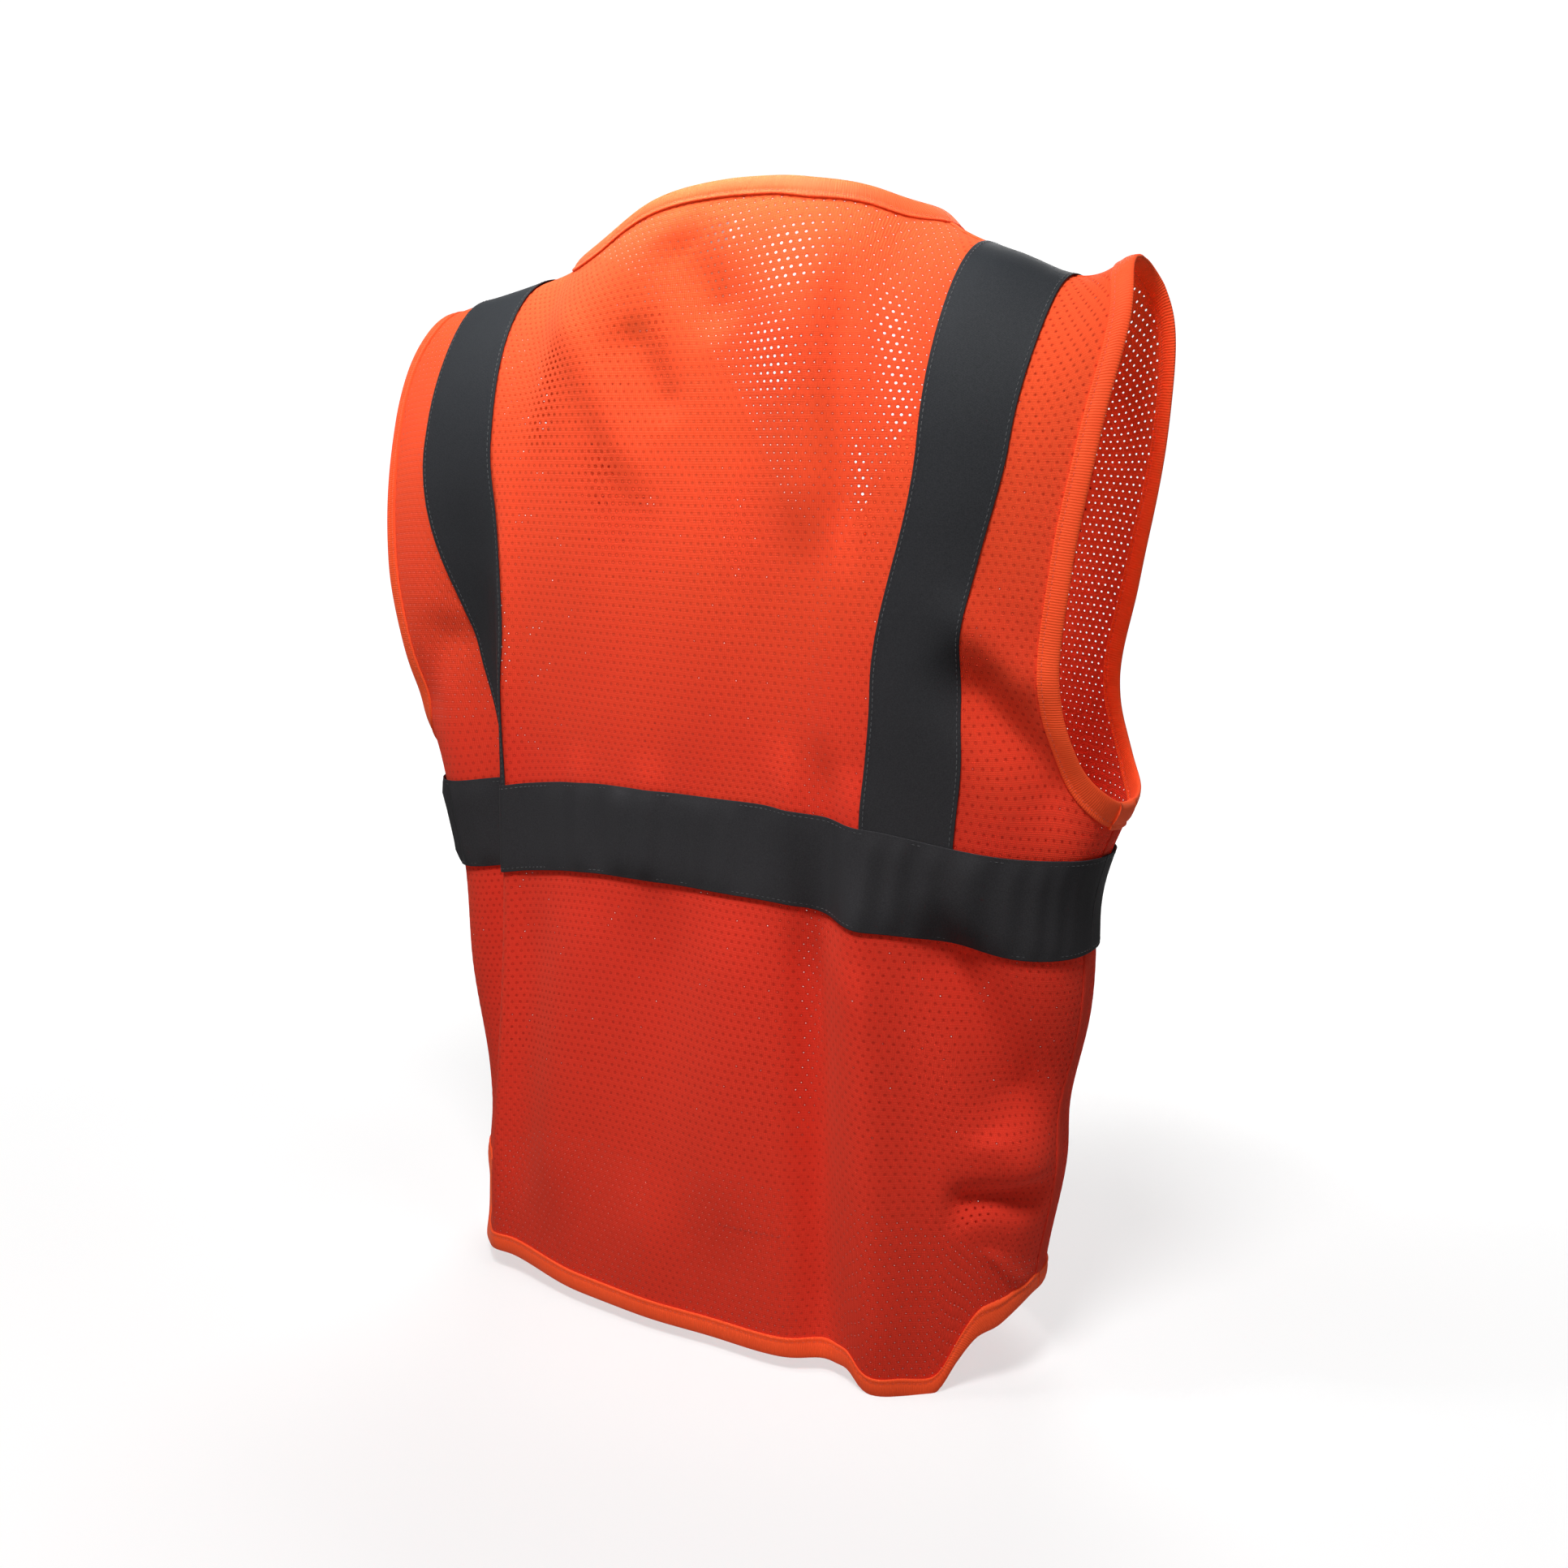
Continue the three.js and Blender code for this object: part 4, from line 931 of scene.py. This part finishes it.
def tape_look():
    look = Look("reflective_tape", Roughness=0.6)
    look.shader.inputs["Specular IOR Level"].default_value = 0.06
    # Painted shade: the tape's grey grows darker and bluer with height, tempering the light on the shoulder tops.
    height = look.node("SeparateXYZ", {0: look.place()}).outputs["Z"]
    grey = look.ramp(height, (0.034, 0.032, 0.034), (0.019, 0.022, 0.025), at=(0.27, 0.60))
    grain = look.noise(look.place(), 1600, 2)
    tint = look.node("Mix", {0: 0.18, 6: grey, 7: look.ramp(grain, (0.01, 0.01, 0.012), (0.06, 0.063, 0.07))},
                     data_type="RGBA")
    look.use(tint.outputs[2], "Base Color")
    look.use(look.node("MapRange", {0: look.noise(look.place(), 30, 3), 3: 0.5, 4: 0.66}).outputs[0], "Roughness")
    weave = look.add(look.bands(look.cloth(), 0.0007), look.bands(look.cloth(), 0.0007, "Y"))
    look.bump(look.add(weave, grain), 0.12, 0.0002)
    return look.material


def thread_look(name, low, high):
    look = Look(name, Roughness=0.6, Sheen_Weight=0.3)
    look.use(look.ramp(look.noise(look.place(), 2500), low, high), "Base Color")
    look.bump(look.noise(look.place(), 4000), 0.4, 0.0001)
    return look.material


def woven_look(name, low, high, period=0.0006, translucency_and_painted_glow=0.15):
    look = Look(name, Roughness=0.75, Sheen_Weight=0.3)
    weave = look.add(look.bands(look.place(), period, "X"), look.bands(look.place(), period, "Z"))
    look.use(look.ramp(look.add(weave, 0.5, "MULTIPLY"), low, high), "Base Color")
    look.bump(weave, 0.5, 0.0002)
    # Painted glow: an emission in the cloth's light colour, scaled with its translucency, brightens it as if lit from
    # behind.
    look.shader.inputs["Emission Color"].default_value = (*high, 1)
    look.shader.inputs["Emission Strength"].default_value = 0.4 * translucency_and_painted_glow
    look.let_light_through((*high, 1), translucency_and_painted_glow)
    return look.material


def plastic_look():
    look = Look("zip_plastic", Roughness=0.35)
    look.use(look.ramp(look.noise(look.place(), 300), (0.72, 0.050, 0.008), (0.82, 0.075, 0.012)), "Base Color")
    look.use(look.node("MapRange", {0: look.noise(look.place(), 900), 3: 0.28, 4: 0.45}).outputs[0], "Roughness")
    look.bump(look.noise(look.place(), 1200), 0.15, 0.0001)
    return look.material


def metal_look():
    look = Look("zip_metal", Metallic=1.0, Roughness=0.35)
    worn = look.noise(look.place(), 500, 4)
    look.use(look.ramp(worn, (0.36, 0.37, 0.38), (0.62, 0.63, 0.65)), "Base Color")
    look.use(look.node("MapRange", {0: worn, 3: 0.25, 4: 0.5}).outputs[0], "Roughness")
    look.bump(look.noise(look.place(), 2000), 0.2, 0.0001)
    return look.material


MESH = mesh_look()
BINDING = binding_look()
TAPE = tape_look()
ORANGE_THREAD = thread_look("orange_thread", (0.70, 0.035, 0.006), (0.95, 0.10, 0.015))
GREY_THREAD = thread_look("grey_thread", (0.012, 0.012, 0.014), (0.06, 0.062, 0.068))
RED_THREAD = thread_look("red_thread", (0.16, 0.006, 0.004), (0.30, 0.012, 0.006))
ZIP_TAPE = woven_look("zip_tape", (0.78, 0.050, 0.010), (0.94, 0.085, 0.016))
LABEL = woven_look("label", (0.74, 0.74, 0.72), (0.88, 0.88, 0.86), 0.0005, 0.5)
PLASTIC = plastic_look()
METAL = metal_look()

# ---- which body each piece follows ----
HAND_NAME = {LEFT: "left", RIGHT: "right"}


def finish_piece(piece, nodes):
    if nodes:
        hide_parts(*nodes)
    return piece


def ride(piece, body, *nodes):
    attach(piece, body)
    return finish_piece(piece, nodes)


def bend_with_front(piece, hand, *nodes):
    """Bakes the piece's placement into its mesh and hides the given CAD nodes. It reads the points but leaves them as
    they are: nothing opens, and the piece follows no body.
    """
    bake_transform(piece)
    co = np.empty(len(piece.data.vertices) * 3, np.float32)
    piece.data.vertices.foreach_get("co", co)
    co = co.reshape(-1, 3) / MM
    return finish_piece(piece, nodes)


# ---- building: panels, bindings and seams ----
def build_back(table):
    hem = hem_line(BACK, HEM_HALF_WIDTH, -HEM_HALF_WIDTH)
    neck = back_neck_line()
    arms = [armhole_line(LEFT), armhole_line(RIGHT)]
    panel = mesh_panel("back_mesh", BACK, table, MESH, [hem, neck, *arms])
    ride(panel, "root", "back_panel")
    ride(binding("hem_binding_back", hem, False, 1, BINDING), "root", "back_hem_binding")
    ride(binding("neck_binding_back", neck, False, -1, BINDING), "root", "neck_binding")
    stitch_in, face = BINDING_WIDTH - 2.2, 0.72 * BINDING_SKIN
    threads = both_faces(hem, False, 1, stitch_in, face) + both_faces(neck, False, -1, stitch_in, face)
    ride(thread_bits("back_binding_stitches", threads, ORANGE_THREAD), "root")


def build_armhole(hand):
    line = armhole_line(hand)
    name = HAND_NAME[hand]
    piece = binding(f"{name}_armhole_binding_fold", line, True, hand, BINDING)
    ride(piece, "root", f"{name}_armhole_binding")
    under = np.argmin(line[:, Z])
    lap = line[under - 5: under + 4]
    ride(binding(f"{name}_armhole_lap", lap, False, hand, BINDING, BINDING_WIDTH + 0.8, 1.9), "root")
    loop = np.vstack([line, line[:1]])
    threads = both_faces(loop, False, hand, BINDING_WIDTH - 2.2, 0.72 * BINDING_SKIN)
    ride(thread_bits(f"{name}_armhole_stitches", threads, ORANGE_THREAD), "root")


def build_front(table, hand):
    name = HAND_NAME[hand]
    hem = hem_line(FRONT, hand * FRONT_EDGE_X, hand * HEM_HALF_WIDTH)
    neck = front_neck_line(hand)
    edge_z = np.linspace(FRONT_HEM_Z + 1, FRONT_NECK_Z - 1, 160)
    edge = on_surface(FRONT, np.full_like(edge_z, hand * FRONT_EDGE_X), edge_z)
    panel = mesh_panel(f"{name}_front_mesh", FRONT, table, MESH, [hem, neck, armhole_line(hand)], hand)
    bend_with_front(panel, hand, f"{name}_front_panel", f"{name}_front_side_panel")
    hem_piece = binding(f"{name}_hem_binding_front", hem, False, hand, BINDING)
    bend_with_front(hem_piece, hand, f"{name}_front_hem_binding")
    neck_piece = binding(f"{name}_neck_binding_front", neck, False, -hand, BINDING)
    bend_with_front(neck_piece, hand, f"{name}_front_neck_binding")
    facing = binding(f"{name}_front_edge_fold", edge, False, -hand, ZIP_TAPE, 9.0, 0.5)
    ride(facing, f"{name}_front")
    stitch_in, face = BINDING_WIDTH - 2.2, 0.72 * BINDING_SKIN
    threads = both_faces(hem, False, hand, stitch_in, face) + both_faces(neck, False, -hand, stitch_in, face)
    threads += [edge_track(edge, False, -hand, d, 0.45) for d in (1.6, 7.6)]
    bend_with_front(thread_bits(f"{name}_front_stitches", threads, ORANGE_THREAD), hand)


SEAM_PROFILE = ((-4.5, 0.15), (-3.8, 0.55), (-0.8, 0.75), (0.0, 0.55), (0.8, 0.75), (3.8, 0.55), (4.5, 0.15))


def seam_strip(name, line, look, sign=1):
    """A flat felled seam: a narrow strip on both faces of the cloth, with a groove where the panels meet."""
    rows = []
    for face in (1, -1):
        for distance, offset in SEAM_PROFILE[::face]:
            base = inset(line, False, sign, distance) if distance else line
            rows.append(lay(base, outward(base), np.full(len(base), offset * face)))
    return tube(name, rows, look)


def build_seams(hand):
    name = HAND_NAME[hand]
    z = np.linspace(SIDE_HEM_Z + 8, UNDERARM_Z - 7, 120)
    side = np.stack([hand * half_width(z), np.zeros_like(z), z], 1)
    ride(seam_strip(f"{name}_side_seam", side, MESH), "root")
    x = np.linspace(NECK_HALF_WIDTH + 7, SHOULDER_TIP_X - 7, 60)
    shoulder = np.stack([hand * x, np.zeros_like(x), crest_z(x)], 1)
    ride(seam_strip(f"{name}_shoulder_seam", shoulder, MESH), "root")


def build_tapes():
    back = waist_points(BACK, WAIST_HALF_WIDTH, -WAIST_HALF_WIDTH)
    piece = tape_sheet("waist_tape_back", back, WAIST_TAPE_OFFSET, waist_pucker(back), TAPE)
    ride(piece, "root", "back_waist_tape")
    ride(tape_stitches("waist_tape_back_stitches", back, WAIST_TAPE_OFFSET, GREY_THREAD), "root")
    for hand, name in HAND_NAME.items():
        front = waist_points(FRONT, hand * (FRONT_EDGE_X + 9.5), hand * WAIST_HALF_WIDTH)
        piece = tape_sheet(f"{name}_waist_tape_front", front, WAIST_TAPE_OFFSET, 0.5 * waist_pucker(front), TAPE)
        bend_with_front(piece, hand, f"{name}_front_waist_tape")
        stitches = tape_stitches(f"{name}_waist_tape_front_stitches", front, WAIST_TAPE_OFFSET, GREY_THREAD)
        bend_with_front(stitches, hand)
        over = shoulder_tape_points(hand)
        along = over[..., Z] + over[..., Y]
        pucker = 0.12 * np.sin(along / 9 + 2 * np.sin(along / 41))
        piece = tape_sheet(f"{name}_shoulder_tape_strip", over, SHOULDER_TAPE_OFFSET, pucker, TAPE)
        ride(piece, "root", f"{name}_shoulder_tape")
        ride(tape_stitches(f"{name}_shoulder_tape_stitches", over, SHOULDER_TAPE_OFFSET, GREY_THREAD), "root")


def build_label():
    across = np.linspace(LABEL_LOW[X], LABEL_HIGH[X], 25)[None, :]
    up = np.linspace(0, 1, 19)[:, None]
    z = mix(LABEL_LOW[Z], LABEL_HIGH[Z], up)
    base = on_surface(BACK, across, z)
    normals = outward(base)
    curl = 1.6 * (1 - up) ** 2 + 0.25 * np.sin(across / 6) * (1 - up)
    offset = np.broadcast_to(-1.5 - curl, base.shape[:2])
    rows = np.concatenate([lay(base, normals, offset + 0.15), lay(base, normals, offset - 0.15)[::-1]])
    ride(tube("blank_label", rows, LABEL), "root", "neck_label")
    top = base[-2]
    ride(thread_bits("label_stitches", [(lay(top, outward(top), np.full(len(top), -1.75)), -outward(top))],
                     ORANGE_THREAD), "root")


def build_tack_row():
    """A short row of dark tacking stitches low on the back."""
    x = np.linspace(-34, -72, 30)
    line = on_surface(BACK, x, np.full_like(x, 68.5))
    normals = outward(line)
    track = (lay(line, normals, np.full(len(line), 0.1)), normals)
    ride(thread_bits("tack_stitches", [track], RED_THREAD, length=1.7, pitch=3.1, radius=0.2), "root")


# ---- front zip ----
TOOTH_PITCH = 3.1


def rounded_block(size, bevel):
    """Points and quads of a block with softened edges, about its own middle."""
    block = bmesh.new()
    bmesh.ops.create_cube(block, size=1)
    for vertex in block.verts:
        vertex.co = (vertex.co.x * size[0], vertex.co.y * size[1], vertex.co.z * size[2])
    bmesh.ops.bevel(block, geom=block.edges[:], offset=bevel, segments=1, affect="EDGES", profile=0.5)
    points = np.array([v.co[:] for v in block.verts])
    faces = [[v.index for v in f.verts] for f in block.faces]
    block.free()
    return points, np.array([f if len(f) == 4 else [*f, f[-1]] for f in faces])


def build_zip(hand):
    name = HAND_NAME[hand]
    body = f"{name}_front"
    middle_y = (ZIP_LOW[Y] + ZIP_HIGH[Y]) / 2
    thick = ZIP_HIGH[Y] - ZIP_LOW[Y]
    reach = ZIP_HIGH[X] - ZIP_LOW[X]
    head, head_faces = rounded_block((reach * 0.45, thick, 1.95), 0.32)
    foot, foot_faces = rounded_block((reach * 0.6, thick * 0.8, 1.35), 0.25)
    points, faces, base = [], [], 0
    start = ZIP_LOW[Z] + 1.2 + (0 if hand == LEFT else TOOTH_PITCH / 2)
    for z in np.arange(start, ZIP_HIGH[Z] - 1, TOOTH_PITCH):
        for block, block_faces, x in ((head, head_faces, 0.225), (foot, foot_faces, 0.66)):
            centre = (hand * (ZIP_LOW[X] + reach * x), middle_y, z)
            points.append(block + centre)
            faces.append(block_faces + base)
            base += len(block)
    teeth = quads_and_triangles(f"{name}_teeth", np.vstack(points), np.vstack(faces), PLASTIC)
    ride(teeth, body, f"{name}_zip_teeth")
    z = np.linspace(ZIP_TAPE_LOW[Z], ZIP_TAPE_HIGH[Z], 150)
    inner, outer = ZIP_TAPE_LOW[X] - 1.6, ZIP_TAPE_HIGH[X]
    profile = ((inner, 0.5), (inner + 0.6, 0.95), (inner + 1.4, 0.5), (inner + 2.2, 0.22), (outer, 0.2))
    rows = []
    for face in (1, -1):
        for x, offset in profile[::face]:
            rows.append(np.stack([np.full_like(z, hand * x), np.full_like(z, middle_y - offset * face), z], 1))
    ride(tube(f"{name}_zip_tape_woven", rows, ZIP_TAPE), body, f"{name}_zip_tape")


def quads_and_triangles(name, points, faces, look):
    """As new_piece, for faces of which some repeat their last corner and so are triangles."""
    mesh = bpy.data.meshes.new(name)
    mesh.from_pydata((points * MM).tolist(), [], [f[:3] if f[2] == f[3] else f for f in faces.tolist()])
    mesh.materials.append(look)
    piece = bpy.data.objects.new(name, mesh)
    bpy.context.scene.collection.objects.link(piece)
    return piece


def dress_cad_parts():
    """The zip's small rigid parts keep their CAD shapes, with softened edges."""
    metal = ("zip_slider", "zip_pull", "left_zip_top_stop", "right_zip_top_stop")
    for name in (*metal, "zip_box", "zip_pin"):
        part = frame["nodes"][name]
        part.data.materials.clear()
        part.data.materials.append(METAL if name in metal else PLASTIC)
        bevel = part.modifiers.new("softened_edges", "BEVEL")
        bevel.width = 0.25 * MM
        bevel.segments = 2
        bevel.limit_method = "ANGLE"


# ---- stage, light and camera ----
def build_stage():
    look = Look("pale_floor", Roughness=0.9)
    look.use(look.ramp(look.noise(look.place(), 2), (0.36, 0.36, 0.36), (0.38, 0.38, 0.38)), "Base Color")
    away = look.node("VectorMath", {0: look.place()}, operation="LENGTH").outputs["Value"]
    glow = look.node("MapRange", {0: away, 1: 0.3, 2: 2.5, 3: 0.60, 4: 1.0}).outputs[0]
    seen = look.node("LightPath").outputs["Is Camera Ray"]
    look.use(look.add(glow, seen, "MULTIPLY"), "Emission Strength")
    look.shader.inputs["Emission Color"].default_value = (1, 1, 1, 1)
    depth, height, bend = 6.0, 5.0, 1.5
    profile = [(4.0, 0.0), (-depth + bend, 0.0)]
    profile += [(-depth + bend - bend * math.sin(a), bend - bend * math.cos(a)) for a in np.linspace(0.1, 1.57, 12)]
    profile.append((-depth, height))
    toward = np.array([math.sin(math.radians(CAMERA_AZIMUTH)), -math.cos(math.radians(CAMERA_AZIMUTH))])
    aside = np.array([-toward[1], toward[0]])
    rows = []
    for away, z in profile:
        for s in (-8, 8):
            flat = toward * away + aside * s
            rows.append((flat[0] / MM, flat[1] / MM, z / MM))
    floor = new_piece("floor", np.array(rows), grid_faces(len(profile), 2), look.material)


AMBIENT = 0.18


def area_light(name, place, aim, size, power, spread=180):
    light = bpy.data.lights.new(name, "AREA")
    light.shape = "DISK"
    light.size = size
    light.energy = power
    light.spread = math.radians(spread)
    lamp = bpy.data.objects.new(name, light)
    bpy.context.scene.collection.objects.link(lamp)
    lamp.location = place
    direction = lamp.location - type(lamp.location)(aim)
    lamp.rotation_euler = direction.to_track_quat("Z", "Y").to_euler()


CAMERA_AZIMUTH = 210.2
CAMERA_ELEVATION = 9.5
CAMERA_ROLL = 1.5
CAMERA_DISTANCE = 0.95
CAMERA_LENS = 37.9


def build_camera():
    low, high = (np.array(c) for c in cad_bounds)
    aim = (low + high) / 2 + np.array([-9.1, -21.0, -10.4]) * MM
    azimuth, elevation, roll = (math.radians(a) for a in (CAMERA_AZIMUTH, CAMERA_ELEVATION, CAMERA_ROLL))
    back = np.array([math.sin(azimuth) * math.cos(elevation), -math.cos(azimuth) * math.cos(elevation),
                     math.sin(elevation)])
    right = np.cross(-back, (0, 0, 1))
    right /= np.linalg.norm(right)
    up = np.cross(right, -back)
    right, up = right * math.cos(roll) + up * math.sin(roll), up * math.cos(roll) - right * math.sin(roll)
    data = bpy.data.cameras.new("camera")
    data.lens = CAMERA_LENS
    data.sensor_width = 36
    camera = bpy.data.objects.new("camera", data)
    bpy.context.scene.collection.objects.link(camera)
    matrix = np.eye(4)
    matrix[:3, 0], matrix[:3, 1], matrix[:3, 2] = right, up, back
    matrix[:3, 3] = aim + back * CAMERA_DISTANCE
    camera.matrix_world = type(camera.matrix_world)(matrix.tolist())
    bpy.context.scene.camera = camera


def build_light():
    area_light("key", (-0.22, 0.76, 1.48), (0, 0.05, 0.52), 0.4, 18.5)
    area_light("side", (0.70, 0.55, 1.40), (0.17, 0.04, 0.58), 0.3, 0.30, spread=26)
    area_light("inside", (-0.02, 0.08, 0.80), (0.02, -0.08, 0.42), 0.15, 0.5, spread=70)
    area_light("front", (0.7, -1.4, 1.3), (0, 0, 0.35), 1.2, 20)
    world = bpy.data.worlds.new("studio")
    world.use_nodes = True
    nodes, links = world.node_tree.nodes, world.node_tree.links
    seen = nodes.new("ShaderNodeLightPath").outputs["Is Camera Ray"]
    level = nodes.new("ShaderNodeMapRange")
    links.new(seen, level.inputs[0])
    level.inputs[3].default_value = AMBIENT
    level.inputs[4].default_value = 1.0
    links.new(level.outputs[0], nodes["Background"].inputs["Strength"])
    nodes["Background"].inputs["Color"].default_value = (1, 1, 1, 1)
    bpy.context.scene.world = world
    bpy.context.scene.view_settings.view_transform = "Standard"


back_table = cloth_table(BACK)
front_table = cloth_table(FRONT)
build_back(back_table)
for side_hand in (LEFT, RIGHT):
    build_armhole(side_hand)
    build_front(front_table, side_hand)
    build_seams(side_hand)
    build_zip(side_hand)
build_tapes()
build_label()
build_tack_row()
dress_cad_parts()
build_stage()
build_light()
build_camera()
